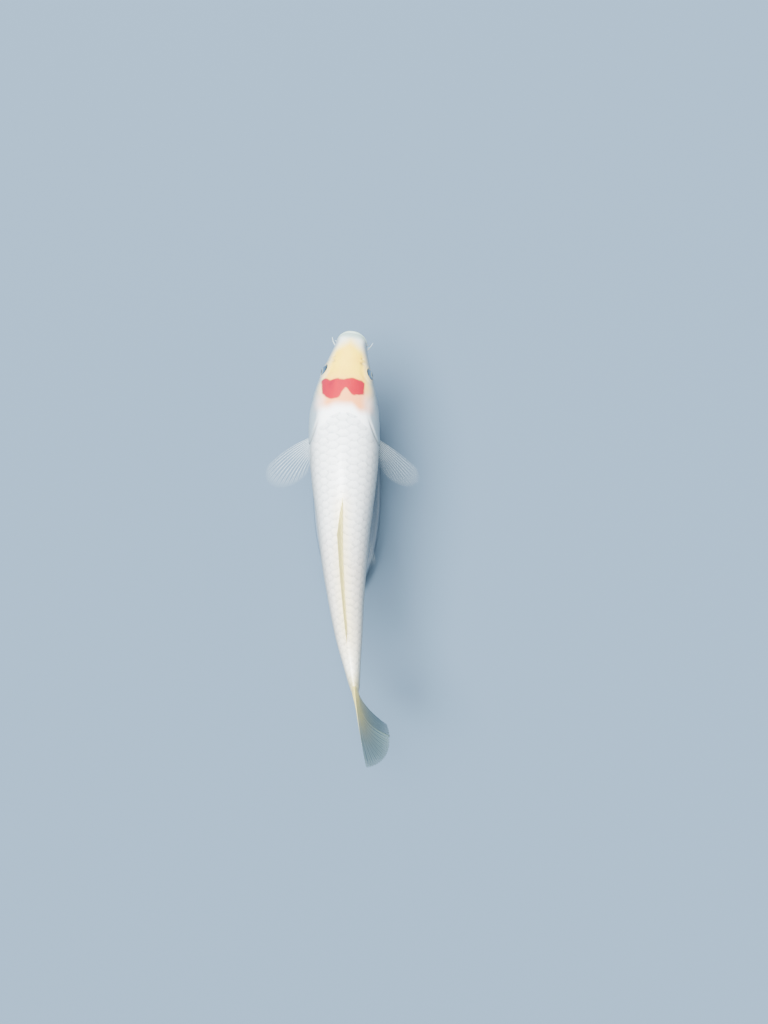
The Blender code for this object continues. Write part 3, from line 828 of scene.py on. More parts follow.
# %% Where the scales are rooted
ROWS_EACH_WAY = 6
ROWS_AT_TAIL = 4
FIRST_SCALE = 38.0
LAST_SCALE = 179.5
SCALE_STEP = 4.05
STEP_SHRINKS = 0.021  # how much shorter each step is than the one before it
FIN_FOOT = (86.0, 149.0)  # the back fin's foot, where the rows stop short of the ridge
BEHIND_GILL = 1.13
AROUND_PECTORAL, AROUND_PELVIC = 2.6, 2.0


def scale_places():
    """(back, share, mirrored, rows, step) of every scale."""
    found = []
    for row in range(-ROWS_EACH_WAY, ROWS_EACH_WAY + 1):
        for i in range(60):
            number = i + 0.5 * (row % 2)
            back = FIRST_SCALE + SCALE_STEP * number - 0.5 * STEP_SHRINKS * number**2
            if back > LAST_SCALE:
                break
            rows = float(mix(ROWS_EACH_WAY, ROWS_AT_TAIL, smooth(84, 158, back)))
            share = row / rows
            beside_fin = row > 0 and FIN_FOOT[0] < back < FIN_FOOT[1]
            in_middle = abs(share) >= 1 - 0.5 / rows and not beside_fin
            if abs(share) > 1 + 0.5 / rows or (beside_fin and share > 1 - 0.1 / rows):
                continue
            share = math.copysign(1.0, share) if in_middle else share
            share = min(share, 1 - 0.6 / rows) if beside_fin else share
            turn = turn_at(np.array(back), np.array(share))
            spot = on_body(np.array(back), turn)
            bare = back - 1.2 < head_edge(turn) or gill_share(spot[0], spot[2])[0] < BEHIND_GILL
            near_pectoral = distance_to(spot, PECTORAL_ROOT) < AROUND_PECTORAL
            near_pelvic = distance_to(spot, PELVIC_ROOT) < AROUND_PELVIC
            if bare or near_pectoral or near_pelvic:
                continue
            sides = (False,) if in_middle else (False, True)
            for mirrored in sides:
                found.append((back, share, mirrored, rows, SCALE_STEP - STEP_SHRINKS * number))
    return np.array(found, float)


SCALES = scale_places()
print("scales:", len(SCALES))

# %% Laying the scales
# A scale is deepest at its root and nearly flush at its free edge. Where scales meet bare skin they sink into it.
# All depths are in millimetres below the body's surface.
ROOT_DEPTH, FREE_DEPTH = 0.32, 0.06
SCALE_THICKNESS = 0.06
CORNERS_DROOP = 0.02
DEPTH_WANDERS = 0.012
SINK = 0.2
SINK_AT_GILL = 1.1
AHEAD_OF_ROOT, BEHIND_ROOT = 0.95, 0.98  # a scale's reach, in steps
HALF_WIDTH_IN_ROWS = 0.72


def lay_scales(which):
    """Every plate's points on the straight fish."""
    back0, share0, mirrored, rows, step = (column[:, None] for column in which.T)
    across, reach = ACROSS[None, :], 0.5 * (ALONG[None, :] + 1)
    rear = BEHIND_ROOT * step * (1 - 0.5 * np.abs(across) ** 2.3)
    back = back0 + mix(-AHEAD_OF_ROOT * step, rear, reach)
    turn = turn_at(back, share0 + HALF_WIDTH_IN_ROWS / rows * across * (0.9 + 0.1 * reach))
    turn = np.where(mirrored > 0, np.pi - turn, turn)
    spots = on_body(back, turn)
    depth = mix(ROOT_DEPTH, FREE_DEPTH, reach) + np.where(TOP, 0.0, SCALE_THICKNESS)
    depth = depth + CORNERS_DROOP * np.abs(across) ** 3
    depth = depth + DEPTH_WANDERS * np.sin(7.3 * back0 + 31.0 * share0)
    depth = depth + SINK * (1 - smooth(0, 9, back - head_edge(turn))) + SINK * smooth(173, 181, back)
    depth = depth + SINK_AT_GILL * (1 - smooth(1.03, 1.1, gill_share(spots[..., 0], spots[..., 2])[0]))
    return spots - outward(back, turn) * depth[..., None]


# %% The scales' bake map
# Each plate is a small patch of the map at its root's place on the unrolled body. The left side has the map's lower
# half and the right side its upper half.
PATCH = 0.003
MAP_START, MAP_LENGTH, BODY_SPAN = 0.03, 0.94, 200.0
LEFT_BAND, RIGHT_BAND, BAND_HALF = 0.25, 0.75, 0.235


def bake_map(mesh, which, along, across):
    back0, share0, mirrored = which[:, 0:1], which[:, 1:2], which[:, 2:3]
    u = MAP_START + MAP_LENGTH * back0 / BODY_SPAN + along[None, :] * PATCH / 2
    side = np.where(mirrored > 0, RIGHT_BAND - BAND_HALF * share0, LEFT_BAND + BAND_HALF * share0)
    v = side + across[None, :] * PATCH / 2
    corner = np.empty(len(mesh.loops), np.int32)
    mesh.loops.foreach_get("vertex_index", corner)
    flat = np.stack((u.ravel(), v.ravel()), -1)[corner]
    mesh.uv_layers.new(name="OFBake").data.foreach_set("uv", flat.astype(np.float32).ravel())


def make_scales(name, which):
    """One side's scales. rim is 1 at a scale's free edge, and one is a number that differs from scale to scale."""
    mesh = copies(name, template, len(which))
    spots = lay_scales(which).reshape(-1, 3)
    set_points(mesh, place(spots))
    # On the right side the plates are mirrored, which turns them inside out.
    turn_outwards(mesh)
    set_attribute(mesh, "ridge", ridge_share(spots))
    set_attribute(mesh, "flank", flank_shade_share(spots))
    set_attribute(mesh, "rim", np.tile((0.5 * (ALONG + 1)) ** 5, len(which)))
    set_attribute(mesh, "one", np.repeat((which[:, 0] * 7.77 + which[:, 1] * 91.7) % 1.0, len(ALONG)))
    bake_map(mesh, which, ALONG, ACROSS)
    mesh.shade_smooth()
    mesh.set_sharp_from_angle(angle=math.radians(40))
    return mesh


# %% Pearly scales
# A scale is clear bone over a silver layer: satin, with a crisp highlight, and a little darker along its rim.
def make_scale_material():
    scale, shader = new_material("pearly_koi_scale")
    place_on = add(scale, "TexCoord", out="Object")
    one, rim = (add(scale, "Attribute", out="Fac", attribute_name=name) for name in ("one", "rim"))
    # Each scale's tone differs a little.
    tone = add(scale, "MapRange", {0: one, 3: 0.9, 4: 1.0})
    tinted = {0: 0.35, 6: body_colour(scale), 7: tone}
    colour = add(scale, "Mix", tinted, out=2, data_type="RGBA", blend_type="MULTIPLY")
    # Growth lines lie 0.05 mm apart, too fine to show here, so the rim's grey is broken up in specks of 1.4 mm.
    specks = add(scale, "TexNoise", {"Vector": place_on, "Scale": grain(1.43), "Detail": 2.0})
    speckled = add(scale, "MapRange", {0: specks, 1: 0.45, 2: 0.66, 3: 0.3, 4: 0.62})
    on_rim = add(scale, "Math", {0: rim, 1: speckled}, operation="MULTIPLY")
    darkened = {0: on_rim, 6: colour, 7: paint("#8d979a")}
    connect(scale, shader, {
        "Base Color": add(scale, "Mix", darkened, out=2, data_type="RGBA", blend_type="MULTIPLY"),
        "Roughness": add(scale, "MapRange", {0: specks, 1: 0.3, 2: 0.7, 3: 0.28, 4: 0.4}),
        "Subsurface Weight": 0.1,
        "Subsurface Radius": (1.0, 0.6, 0.5),
        "Subsurface Scale": 1.5 * MM,
        "Coat Weight": 0.3,
        "Coat Roughness": 0.15,
        "IOR": 1.45,
    })
    return scale


scale_material = make_scale_material()
on_left = SCALES[:, 2] == 0
for name, which in (("scales_left", SCALES[on_left]), ("scales_right", SCALES[~on_left])):
    add_piece(name, make_scales(name, which), scale_material, "scaled_skin")

# %% [markdown]
# ## The lateral line
#
# Along each side one row of scales carries a short tube with a pore at its end, a sense organ that every carp has.
# Each could be swept along a curve, but a tube is only 2 mm long and half a millimetre wide. A small drawn-out bead
# on each scale of that row is enough.

# %% Tubes on the middle row
LAST_TUBE = 172.0
TUBE_BEHIND_ROOT = 1.9
TUBE_HALF_LENGTH, TUBE_HALF_WIDTH, TUBE_HALF_HEIGHT = 1.15, 0.24, 0.1
TUBE_DEPTH = 0.17


def make_lateral_line():
    bm = bmesh.new()
    bmesh.ops.create_uvsphere(bm, u_segments=8, v_segments=6, radius=1.0)
    bead = mesh_from(bm, "one_tube")
    ball = get_points(bead)
    row = SCALES[(SCALES[:, 1] == 0) & (SCALES[:, 0] < LAST_TUBE)]
    on_right = row[:, 2:3] > 0
    mesh = copies("lateral_line", bead, len(row))
    back = row[:, 0:1] + TUBE_BEHIND_ROOT + TUBE_HALF_LENGTH * ball[None, :, 2]
    turn = TUBE_HALF_WIDTH * ball[None, :, 0] / HALF_WIDTH(back)
    turn = np.where(on_right, np.pi - turn, turn)
    out = np.where(on_right, -TUBE_HALF_HEIGHT, TUBE_HALF_HEIGHT) * ball[None, :, 1] - TUBE_DEPTH
    spots = on_body(back, turn) + outward(back, turn) * out[..., None]
    set_points(mesh, place(spots).reshape(-1, 3))
    turn_outwards(mesh)
    # The tubes get the flanks' full painted shade and a rim darker than any scale's.
    for name, value in (("flank", 1.0), ("rim", 1.1), ("one", 0.2)):
        set_attribute(mesh, name, np.full(len(mesh.vertices), value))
    bake_map(mesh, row, ball[:, 2], ball[:, 0])
    return mesh


add_piece("lateral_line", make_lateral_line(), scale_material, "scaled_skin")

# %% [markdown]
# ## Fins
#
# A carp's fin is a double membrane stretched over bony rays, which fork once or twice on their way to the margin.
# The membrane is almost clear and the rays are milky. Each fin is a sheet over the same fan of rays that the frame
# uses. A closed grid is laid over it, thick at the rays and thin between, and one number on each point says how
# much ray it holds. The shader turns that into milkiness, so the floor shines through the rest.

# %% The fans of the paired fins
def fan(root_front, root_rear, sweep, droop, length, bow, u, v):
    """A point of a paired fin: u over the rays from the leading one, v from root to margin."""
    back, left, up = (mix(f, r, u) for f, r in zip(root_front, root_rear))
    angle, dip = np.radians(mix(*sweep, u)), math.radians(droop)
    reach, arch = length * v, length * bow * v * (1 - v)
    out = reach * np.cos(angle) + arch * np.sin(angle)
    aft = reach * np.sin(angle) - arch * np.cos(angle)
    lowered = reach * math.sin(dip) * (0.6 + 0.4 * v)
    return np.stack((back + aft * math.cos(dip), left + out * math.cos(dip), up - lowered), -1)


def pectoral_share(u):
    """How long each ray is beside the longest: the last ones are short, and the first is a little shorter."""
    return (1 - 0.6 * u**2.4) * (1 - 0.16 * (1 - u) ** 5)


def pelvic_share(u):
    return 1 - 0.5 * u**2


def paired(root, sweep, droop, longest, share, bow):
    """The surface of a paired fin, from its root line, its first and last ray's angle, and its longest ray."""
    return lambda u, v: fan(*root, sweep, droop, longest * share(u), bow, u, v)


pectoral_left = paired(PECTORAL_ROOT, (30.0, 64.0), 11.0, 39.5, pectoral_share, 0.24)
pectoral_right = paired(PECTORAL_ROOT, (34.0, 63.0), 20.0, 39.0, pectoral_share, 0.1)
pelvic_left = paired(PELVIC_ROOT, (79.0, 92.0), 16.0, 28.5, pelvic_share, 0.15)
pelvic_right = paired(PELVIC_ROOT, (70.0, 86.0), 12.0, 28.5, pelvic_share, 0.15)

# %% The back fin, the anal fin and the tail fin
# Lengths are those of the first and the last ray. Slopes and leans are in degrees.
DORSAL_ROOT, DORSAL_LENGTHS = (84.0, 147.0), (22.5, 12.0)
DORSAL_SLOPE, DORSAL_LEAN = 17.0, 24.0
ANAL_ROOT, ANAL_LENGTHS = (135.0, 149.0), (25.0, 10.0)
ANAL_SLOPES = (52.0, 26.0)
ANAL_ASIDE = 2.0


def dorsal(u, v):
    """Folded back along the ridge, and leaning to the fish's left."""
    length = mix(*DORSAL_LENGTHS, u**0.8)
    rise = math.radians(DORSAL_SLOPE) * (1 - 0.25 * u)
    back = mix(*DORSAL_ROOT, u) + length * v * np.cos(rise)
    height = length * v * np.sin(rise)
    lean = math.radians(DORSAL_LEAN) * np.minimum(1.0, 2 * v)
    level = BACK(np.minimum(back, BODY_END)) - 1.4 * (1 - v)
    return np.stack((back, height * np.sin(lean), level + height * np.cos(lean)), -1)


def anal(u, v):
    root = mix(*ANAL_ROOT, u)
    length = mix(*ANAL_LENGTHS, u**0.75)
    down = np.radians(mix(*ANAL_SLOPES, u))
    level = BELLY(root) + 1.5 - (length * v + 1.0) * np.sin(down)
    return np.stack((root + length * v * np.cos(down), -ANAL_ASIDE * v * v, level), -1)


TAIL_ROOT = 178.0
TAIL_ROOT_HALF = 9.6
TAIL_FORK = 0.61
LOWER_LOBE = 0.85
TAIL_BOW = 0.6
TAIL_BILLOW = 12.8
TAIL_CURL = 0.53
TAIL_ANGLES = (32.0, -38.0)  # of the upper and the lower edge, up from straight back
TAIL_ROOT_CURVE = 3.0


def tail(u, v):
    """u runs from the upper edge to the lower one. The upper lobe lies over to the fish's right."""
    longest = TAIL_TIP - TAIL_ROOT
    tip = np.where(u < 0.5, longest, longest * LOWER_LOBE)
    length = mix(longest * TAIL_FORK, tip, np.abs(2 * u - 1) ** 0.85)
    angle = np.radians(mix(*TAIL_ANGLES, u**0.9))
    arch = TAIL_BOW * length * v * (1 - v) * (1 - 2 * u)
    back = TAIL_ROOT + TAIL_ROOT_CURVE * np.sin(np.pi * u) + length * v * np.cos(angle) - arch * np.sin(angle)
    up = TAIL_ROOT_HALF * (1 - 2 * u) + length * v * np.sin(angle) + arch * np.cos(angle)
    swing = TAIL_BILLOW * (1 - np.clip(1 - u / TAIL_CURL, 0, None) ** 2)
    return np.stack((back, -(0.3 + swing) * v**3.2, up), -1)


# %% How much ray a point of a fin holds
def ray_share(u, v, rays, fork):
    """1 on a ray's ridge and 0 on bare membrane. From fork on, each ray splits twice. The last ray is weak."""
    number = u * (rays - 1)
    aside = np.abs(number - np.rint(number))
    split = 0.24 * smooth(fork, 1.0, v)
    second = 0.11 * smooth(mix(fork, 1.0, 0.55), 1.05, v)
    off = np.abs(np.abs(aside - split) - second)
    width = mix(0.23, 0.085, smooth(0.1, fork + 0.25, v))
    return np.exp(-((off / width) ** 2)) * (1 - 0.7 * smooth(0.88, 1.0, u))


# %% Growing a fin
SHARE_STEP = 0.002
FLESH_SHARE = 0.45  # how far the flesh at the root reaches into a fin


def make_fin_mesh(name, surface, columns, rows, rays, fork, thick, mirrored, frayed):
    """A closed sheet over surface(u, v). thick is (ray at root, ray at margin, membrane, flesh at root) in mm."""
    mesh = flat_plate(name, columns, rows, 0.5)
    flat = get_points(mesh)
    u, v = np.clip(flat[:, 0] + 0.5, 0, 1), np.clip(flat[:, 1] + 0.5, 0, 1)
    side = np.where(flat[:, 2] > flat[:, 2].mean(), 1.0, -1.0)
    ray = ray_share(u, v, rays, fork)
    reach = v * (1 - frayed * smooth(0.5, 1.0, v) * (1 - ray))
    du = surface(np.minimum(u + SHARE_STEP, 1), reach) - surface(np.maximum(u - SHARE_STEP, 0), reach)
    dv = surface(u, reach + SHARE_STEP) - surface(u, np.maximum(reach - SHARE_STEP, 0))
    normal = np.cross(du, dv)
    normal /= np.linalg.norm(normal, axis=-1, keepdims=True) + 1e-12
    edge = np.minimum(1.0, 14 * np.minimum(u, 1 - u) + 0.45) * np.minimum(1.0, 10 * (1 - v) + 0.4)
    ray = mix(ray, 1.0, 1 - smooth(0.02, 0.2, v))
    ray_root, ray_margin, membrane, flesh = thick
    half = 0.5 * edge * mix(membrane, mix(ray_root, ray_margin, v), ray)
    half = half + 0.5 * flesh * (1 - smooth(0.0, FLESH_SHARE, v)) * np.sqrt(np.clip(4 * u * (1 - u), 0, 1))
    spot = surface(u, reach) + normal * (side * half)[:, None]
    spot[:, 1] *= -1.0 if mirrored else 1.0
    set_points(mesh, place(spot))
    turn_outwards(mesh)
    set_attribute(mesh, "ray", ray)
    set_attribute(mesh, "reach", v)
    return mesh


# %% The fins' material
# Fin membrane: clear wet skin between milky bone rays, and clearer towards the margin. The anal fin is milkier, and
# the tail and the folded back fin are stained yellow by the skin's pigment.
FIN_FINISHES = {
    # the root's, the rays' and the membrane's colour, how far the root's colour reaches, and how much light is
    # stopped: at the root, at the margin, and how much more on a ray
    "clear_paired_fin": ("#b4c6cd", "#d0dfe3", "#5c7688", 0.25, (0.2, 0.004, 4.6)),
    "milky_anal_fin": ("#dfe2d4", "#dde6e4", "#b4c4c8", 0.3, (0.8, 0.3, 0.5)),
    "clear_tail_fin": ("#d2c468", "#6c817c", "#37545f", 0.9, (0.98, 0.68, 0.2)),
    "folded_back_fin": ("#faf0a0", "#f6ea96", "#eee086", 0.5, (0.95, 0.8, 0.2)),
}
JOINT_WAVES = 210.0  # radians of ripple along a ray: 33 joints, about 1.2 mm apart


def make_fin_material(name, root_colour, ray_colour, membrane_colour, root_reach, milky):
    fin, shader = new_material(name)
    place_on = add(fin, "TexCoord", out="Object")
    ray, reach = (add(fin, "Attribute", out="Fac", attribute_name=name) for name in ("ray", "reach"))
    fleshy = {0: reach, 1: 0.02, 2: root_reach, 3: 1.0, 4: 0.0}
    fleshy = add(fin, "MapRange", fleshy, interpolation_type="SMOOTHSTEP")
    sheet = {0: ray, 6: paint(membrane_colour), 7: paint(ray_colour)}
    sheet = add(fin, "Mix", sheet, out=2, data_type="RGBA")
    clearing = add(fin, "Math", {0: reach, 1: 0.5}, operation="POWER")
    milk = add(fin, "MapRange", {0: clearing, 3: milky[0], 4: milky[1]})
    # The membrane's milkiness varies in clouds 3.3 mm across.
    clouds = add(fin, "TexNoise", {"Vector": place_on, "Scale": grain(3.33), "Detail": 3.0})
    cloudy = add(fin, "MapRange", {0: clouds, 1: 0.3, 2: 0.7, 3: 0.9, 4: 1.1})
    bony = add(fin, "Math", {0: ray, 1: milky[2], 2: cloudy}, operation="MULTIPLY_ADD")
    solid = add(fin, "Math", {0: milk, 1: bony}, operation="MULTIPLY", use_clamp=True)
    thinned = add(fin, "MapRange", {0: reach, 1: 0.9, 2: 1.0, 3: 1.0, 4: 0.6})
    joints = add(fin, "Math", {0: reach, 1: JOINT_WAVES}, operation="MULTIPLY")
    ripple = add(fin, "Math", {0: joints}, operation="SINE")
    height = add(fin, "Math", {0: ripple, 1: ray}, operation="MULTIPLY")
    connect(fin, shader, {
        "Base Color": add(fin, "Mix", {0: fleshy, 6: sheet, 7: paint(root_colour)}, out=2, data_type="RGBA"),
        "Alpha": add(fin, "Math", {0: solid, 1: thinned}, operation="MULTIPLY"),
        "Normal": add(fin, "Bump", {"Height": height, "Strength": 0.15, "Distance": 0.1 * MM}),
        "Roughness": 0.28,
        "Coat Weight": 0.3,
        "Coat Roughness": 0.1,
        "IOR": 1.38,
    })
    return fin


fin_materials = {name: make_fin_material(name, *finish) for name, finish in FIN_FINISHES.items()}

# %% All seven fins
PAIRED_THICK = (0.8, 0.3, 0.16, 0.0)
FINS = (
    # name, surface, faces over the rays and along them, rays, where they fork, thickness, mirrored, frayed, finish
    ("pectoral_fin_left", pectoral_left, 180, 52, 14, 0.55, PAIRED_THICK, False, 0.02, "clear_paired_fin"),
    ("pectoral_fin_right", pectoral_right, 180, 52, 14, 0.55, PAIRED_THICK, True, 0.02, "clear_paired_fin"),
    ("pelvic_fin_left", pelvic_left, 110, 40, 9, 0.4, PAIRED_THICK, False, 0.02, "clear_paired_fin"),
    ("pelvic_fin_right", pelvic_right, 110, 40, 9, 0.4, PAIRED_THICK, True, 0.02, "clear_paired_fin"),
    ("dorsal_fin", dorsal, 240, 30, 20, 0.55, (0.9, 0.3, 0.2, 0.0), False, 0.02, "folded_back_fin"),
    ("anal_fin", anal, 90, 44, 8, 0.4, (0.9, 0.3, 0.2, 0.6), False, 0.02, "milky_anal_fin"),
    ("tail_fin", tail, 240, 70, 19, 0.36, (1.1, 0.3, 0.18, 2.4), False, 0.015, "clear_tail_fin"),
)
for name, *shape, finish in FINS:
    add_piece(name + "_skin", make_fin_mesh(name + "_skin", *shape), fin_materials[finish], "fin", name)

# %% [markdown]
# ## Eyes
#
# The eye is a ball in the socket, with a clear dome, a round black pupil, a thin bright ring round it and a silvery
# blue iris that darkens towards the lid. A lathe or two nested spheres would do. One fine ball is enough, because
# the coat gives the wet dome. Each point's distance from the pupil's axis, in millimetres, draws the rings.

# %% Eye material
# Living eye: the clear coat is the cornea, and the iris below it has a metallic lustre without being metal.
IRIS = (
    # out from the pupil's axis, as a share of the ball's radius, and the colour there
    (0.0, paint("#06080b")),
    (0.33, paint("#07090d")),
    (0.35, paint("#b8ab72")),
    (0.385, paint("#8f9a98")),
    (0.42, paint("#4f6b80")),
    (0.58, paint("#3c566b")),
    (0.7, paint("#32495c")),
    (0.85, paint("#1d2a35")),
)


def make_eye_material():
    eye, shader = new_material("wet_koi_eye")
    place_on = add(eye, "TexCoord", out="Object")
    away = add(eye, "Attribute", out="Fac", attribute_name="from_pupil")
    # The iris has fibres finer than 0.1 mm, drawn as flecks of 0.67 mm, which roughen its rings.
    flecks = add(eye, "TexNoise", {"Vector": place_on, "Scale": grain(0.667), "Detail": 2.0})
    shifted = add(eye, "Math", {0: flecks, 1: 0.1, 2: away}, operation="MULTIPLY_ADD")
    out = add(eye, "MapRange", {0: shifted, 1: 0.05, 2: EYE_RADIUS + 0.05})
    connect(eye, shader, {
        "Base Color": add(eye, "ValToRGB", {0: out}, stops=IRIS),
        "Metallic": 0.2,
        "Roughness": 0.22,
        "Coat Weight": 1.0,
        "Coat Roughness": 0.02,
    })
    return eye


# %% Eyes
GAZE = (0.12, 0.96, 0.24)  # ahead, out to the side and up
DOME = 0.12


def make_eye(name, sign, material, node):
    bm = bmesh.new()
    bmesh.ops.create_uvsphere(bm, u_segments=72, v_segments=48, radius=1.0)
    gaze = Vector((GAZE[0], GAZE[1] * sign, GAZE[2])).normalized()
    bmesh.ops.rotate(bm, cent=(0, 0, 0), matrix=gaze.to_track_quat("Z", "Y").to_matrix(), verts=bm.verts)
    mesh = mesh_from(bm, name)
    ball = get_points(mesh)
    ahead = ball @ np.array(gaze)
    away = EYE_RADIUS * np.linalg.norm(ball - ahead[:, None] * np.array(gaze), axis=1)
    away = np.where(ahead > 0, away, 2 * EYE_RADIUS)
    radius = EYE_RADIUS + DOME * (1 - smooth(1.2, 2.9, away))
    centre = place(EYE_CENTRE * (1, sign, 1))
    set_points(mesh, centre + ball * radius[:, None] * MM)
    set_attribute(mesh, "from_pupil", away)
    add_piece(name, mesh, material, "eye", node)


eye_material = make_eye_material()
make_eye("eye_left_ball", 1, eye_material, "eye_left")
make_eye("eye_right_ball", -1, eye_material, "eye_right")

# %% [markdown]
# ## Barbels
#
# Four soft feelers hang at the mouth, a long pair at its corners and a short pair above. A tapered curve with a
# round bevel is the natural way to make them. It is turned into a mesh, because its place is worked out point by
# point.

# %% Barbels
BARBELS = (
    # name, radius at the root, and points from the root to the tip on the left side
    (
        "barbel_long",
        0.5,
        ((9.0, 4.6, -8.4), (8.2, 7.4, -9.0), (7.0, 8.8, -9.6), (5.2, 9.9, -10.3), (3.2, 10.7, -11.0)),
    ),
    ("barbel_short", 0.38, ((7.3, 5.0, -3.9), (6.4, 7.4, -4.6), (6.0, 8.3, -5.8), (5.8, 8.7, -7.2))),
)
TIP_RADIUS = 0.17
TIP_ROUNDS = 0.93


def make_barbel(name, radius, path, sign):
    knots = np.array(path) * (1, sign, 1)
    ticks = np.arange(len(knots), dtype=float)
    fine = np.linspace(0, ticks[-1], 26)
    smooth_path = place(np.stack([through(np.stack((ticks, knots[:, k]), 1))(fine) for k in range(3)], -1))
    curve = bpy.data.curves.new(name, "CURVE")
    curve.dimensions = "3D"
    curve.bevel_depth = MM
    curve.bevel_resolution = 5
    curve.use_fill_caps = True
    spline = curve.splines.new("POLY")
    spline.points.add(len(fine) - 1)
    for i, point in enumerate(spline.points):
        along = i / (len(fine) - 1)
        point.co = (*smooth_path[i], 1.0)
        rounded = math.sqrt(max(0.0, 1 - max(0.0, (along - TIP_ROUNDS) / (1 - TIP_ROUNDS)) ** 2))
        point.radius = mix(radius, TIP_RADIUS, along**0.8) * max(0.25, rounded)
    holder = bpy.data.objects.new(name + "_path", curve)
    bm = bmesh.new()
    bm.from_mesh(bpy.data.meshes.new_from_object(holder))
    bpy.data.objects.remove(holder)
    bmesh.ops.remove_doubles(bm, verts=bm.verts, dist=1e-7)
    bmesh.ops.recalc_face_normals(bm, faces=bm.faces)
    return mesh_from(bm, name)


# %% Barbel skin
# Soft wet skin, a little greyer than the lips, with faint clouds of 1.25 mm.
BARBEL_TONES = ((0.3, paint("#a9b9bb")), (0.7, paint("#93a5aa")))


def make_barbel_material():
    soft, shader = new_material("soft_barbel_skin")
    place_on = add(soft, "TexCoord", out="Object")
    clouds = add(soft, "TexNoise", {"Vector": place_on, "Scale": grain(1.25), "Detail": 2.0})
    connect(soft, shader, {
        "Base Color": add(soft, "ValToRGB", {0: clouds}, stops=BARBEL_TONES),
        "Roughness": 0.35,
        "Coat Weight": 0.3,
        "Subsurface Weight": 0.15,
        "Subsurface Scale": 1 * MM,
    })
    return soft


barbel_material = make_barbel_material()
for name, radius, path in BARBELS:
    for side, sign in (("left", 1), ("right", -1)):
        barbel = make_barbel(f"{name}_{side}_skin", radius, path, sign)
        add_piece(f"{name}_{side}_skin", barbel, barbel_material, "lip", f"{name}_{side}")

# %% [markdown]
# ## The stand
#
# A low oval base carries the fish on two steel rods. The base is moulded plastic with a satin surface, rounded
# edges and a top that lies a little below its rim. A disc stretched to an oval, extruded and bevelled gives it, and
# keeps the edge's radius the same all round, which a stretched cylinder with a rounded edge wouldn't. Each rod gets
# a turned collar where it enters the base, and a turned part is easiest to spin from half its section.

# %% Base
BASE_LENGTH, BASE_WIDTH, BASE_THICKNESS = 116.0, 38.0, 8.0
BASE_EDGE = 1.2
ROD_PLACES = (60.0, 112.0)


def make_base_mesh():
    bm = bmesh.new()
    bmesh.ops.create_circle(bm, cap_ends=True, segments=128, radius=0.5)
    bmesh.ops.scale(bm, vec=Vector((BASE_LENGTH, BASE_WIDTH, 1.0)) * MM, verts=bm.verts)
    raised = bmesh.ops.extrude_face_region(bm, geom=bm.faces[:])
    top = [g for g in raised["geom"] if isinstance(g, bmesh.types.BMVert)]
    bmesh.ops.translate(bm, vec=(0.0, 0.0, BASE_THICKNESS * MM), verts=top)
    bmesh.ops.recalc_face_normals(bm, faces=bm.faces)
    caps = [face for face in bm.faces if abs(face.normal.z) > 0.9]
    rims = list({edge for face in caps for edge in face.edges})
    bmesh.ops.bevel(
        bm,
        geom=rims,
        offset=BASE_EDGE * MM,
        affect="EDGES",
        segments=5,
        profile=0.5,
        material=-1,
        clamp_overlap=True,
    )
    top_face = max(bm.faces, key=lambda face: face.calc_center_median().z + face.calc_area())
    bmesh.ops.inset_region(bm, faces=[top_face], thickness=1.4 * MM, depth=0.0)
    bmesh.ops.inset_region(bm, faces=[top_face], thickness=0.3 * MM, depth=-0.25 * MM)
    return mesh_from(bm, "base")


# Moulded plastic with an eroded texture: a broad soft shine. Its grain is 0.1 mm, drawn 0.83 mm across to show.
BASE_TONES = ((0.35, paint("#405364")), (0.65, paint("#465a6b")))


def make_base_material():
    plastic, shader = new_material("satin_moulded_plastic")
    place_on = add(plastic, "TexCoord", out="Object")
    pits = add(plastic, "TexNoise", {"Vector": place_on, "Scale": grain(0.833), "Detail": 2.0})
    connect(plastic, shader, {
        "Base Color": add(plastic, "ValToRGB", {0: pits}, stops=BASE_TONES),
        "Normal": add(plastic, "Bump", {"Height": pits, "Strength": 0.25, "Distance": 0.1 * MM}),
        "Roughness": 0.55,
        "IOR": 1.42,
    })
    return plastic


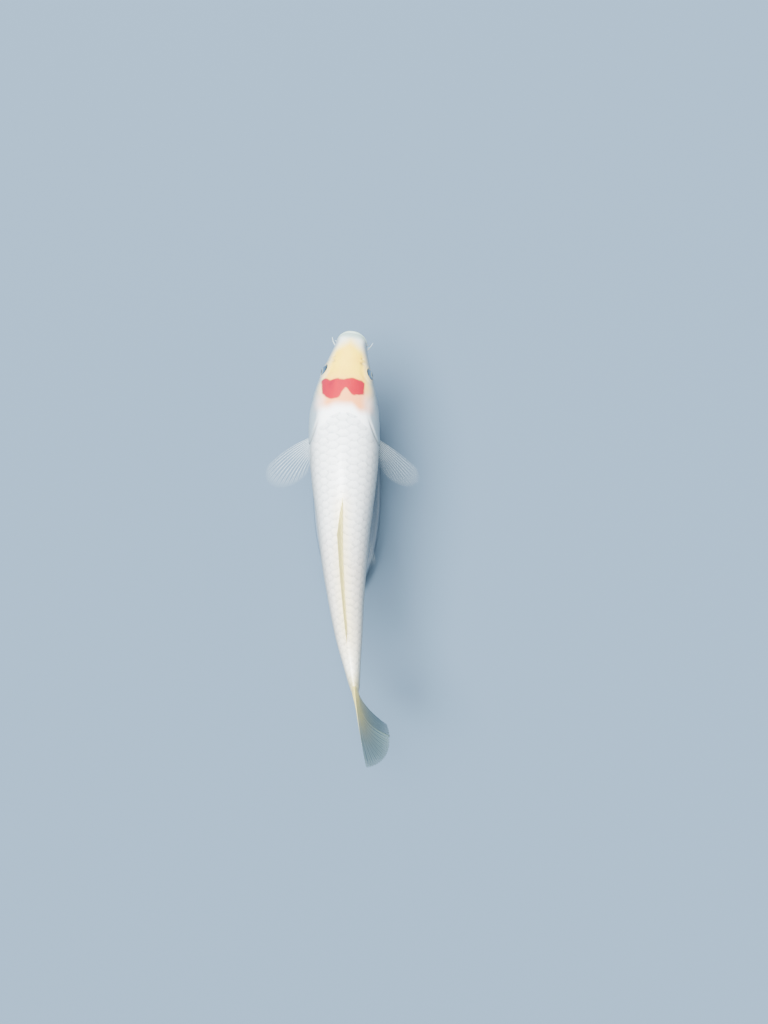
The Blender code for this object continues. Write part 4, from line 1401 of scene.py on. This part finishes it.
base_mesh = make_base_mesh()
add_piece("base", base_mesh, make_base_material(), "stand_base", "stand_base")
base_mesh.set_sharp_from_angle(angle=math.radians(40))

# %% Collars, spun from a small profile
# Each corner is (from the rod's axis, above the floor).
COLLAR = ((1.62, 7.6), (3.1, 7.6), (3.1, 8.5), (2.9, 8.9), (2.3, 9.5), (1.9, 9.7), (1.62, 9.7))


def make_collar(name, back):
    x, y, _ = place(np.array((back, 0.0, 0.0)))
    bm = bmesh.new()
    corners = [bm.verts.new((radius * MM, 0.0, level * MM)) for radius, level in COLLAR]
    edges = [bm.edges.new((a, b)) for a, b in zip(corners, corners[1:] + corners[:1])]
    bmesh.ops.spin(
        bm, geom=corners + edges, cent=(0, 0, 0), axis=(0, 0, 1), angle=math.tau, steps=40, use_merge=True
    )
    bmesh.ops.remove_doubles(bm, verts=bm.verts, dist=1e-6)
    bmesh.ops.recalc_face_normals(bm, faces=bm.faces)
    bmesh.ops.translate(bm, vec=(x, y, 0.0), verts=bm.verts)
    return mesh_from(bm, name)


# Turned and brushed stainless steel: fine rings round the rod's axis stretch the highlight. The real rings lie
# 0.05 mm apart. They are drawn 0.25 mm apart to show, and 3.3 mm long.
def make_steel():
    steel, shader = new_material("brushed_stainless_steel")
    place_on = add(steel, "TexCoord", out="Object")
    stretched = {"Vector": place_on, "Scale": (grain(3.33), grain(3.33), grain(0.25))}
    brushed = add(steel, "TexNoise", {"Vector": add(steel, "Mapping", stretched), "Scale": 1.0, "Detail": 2.0})
    connect(steel, shader, {
        "Base Color": paint("#c4c7ca"),
        "Metallic": 1.0,
        "Roughness": add(steel, "MapRange", {0: brushed, 1: 0.3, 2: 0.7, 3: 0.24, 4: 0.38}),
    })
    return steel


steel = make_steel()
for name, back in zip(("front", "rear"), ROD_PLACES):
    collar = make_collar("collar_" + name, back)
    add_piece("collar_" + name, collar, steel, "stand_rod")
    collar.set_sharp_from_angle(angle=math.radians(35))
for node in ("stand_rod_front", "stand_rod_rear"):
    for slot in bpy.data.objects[node].material_slots:
        slot.material = steel
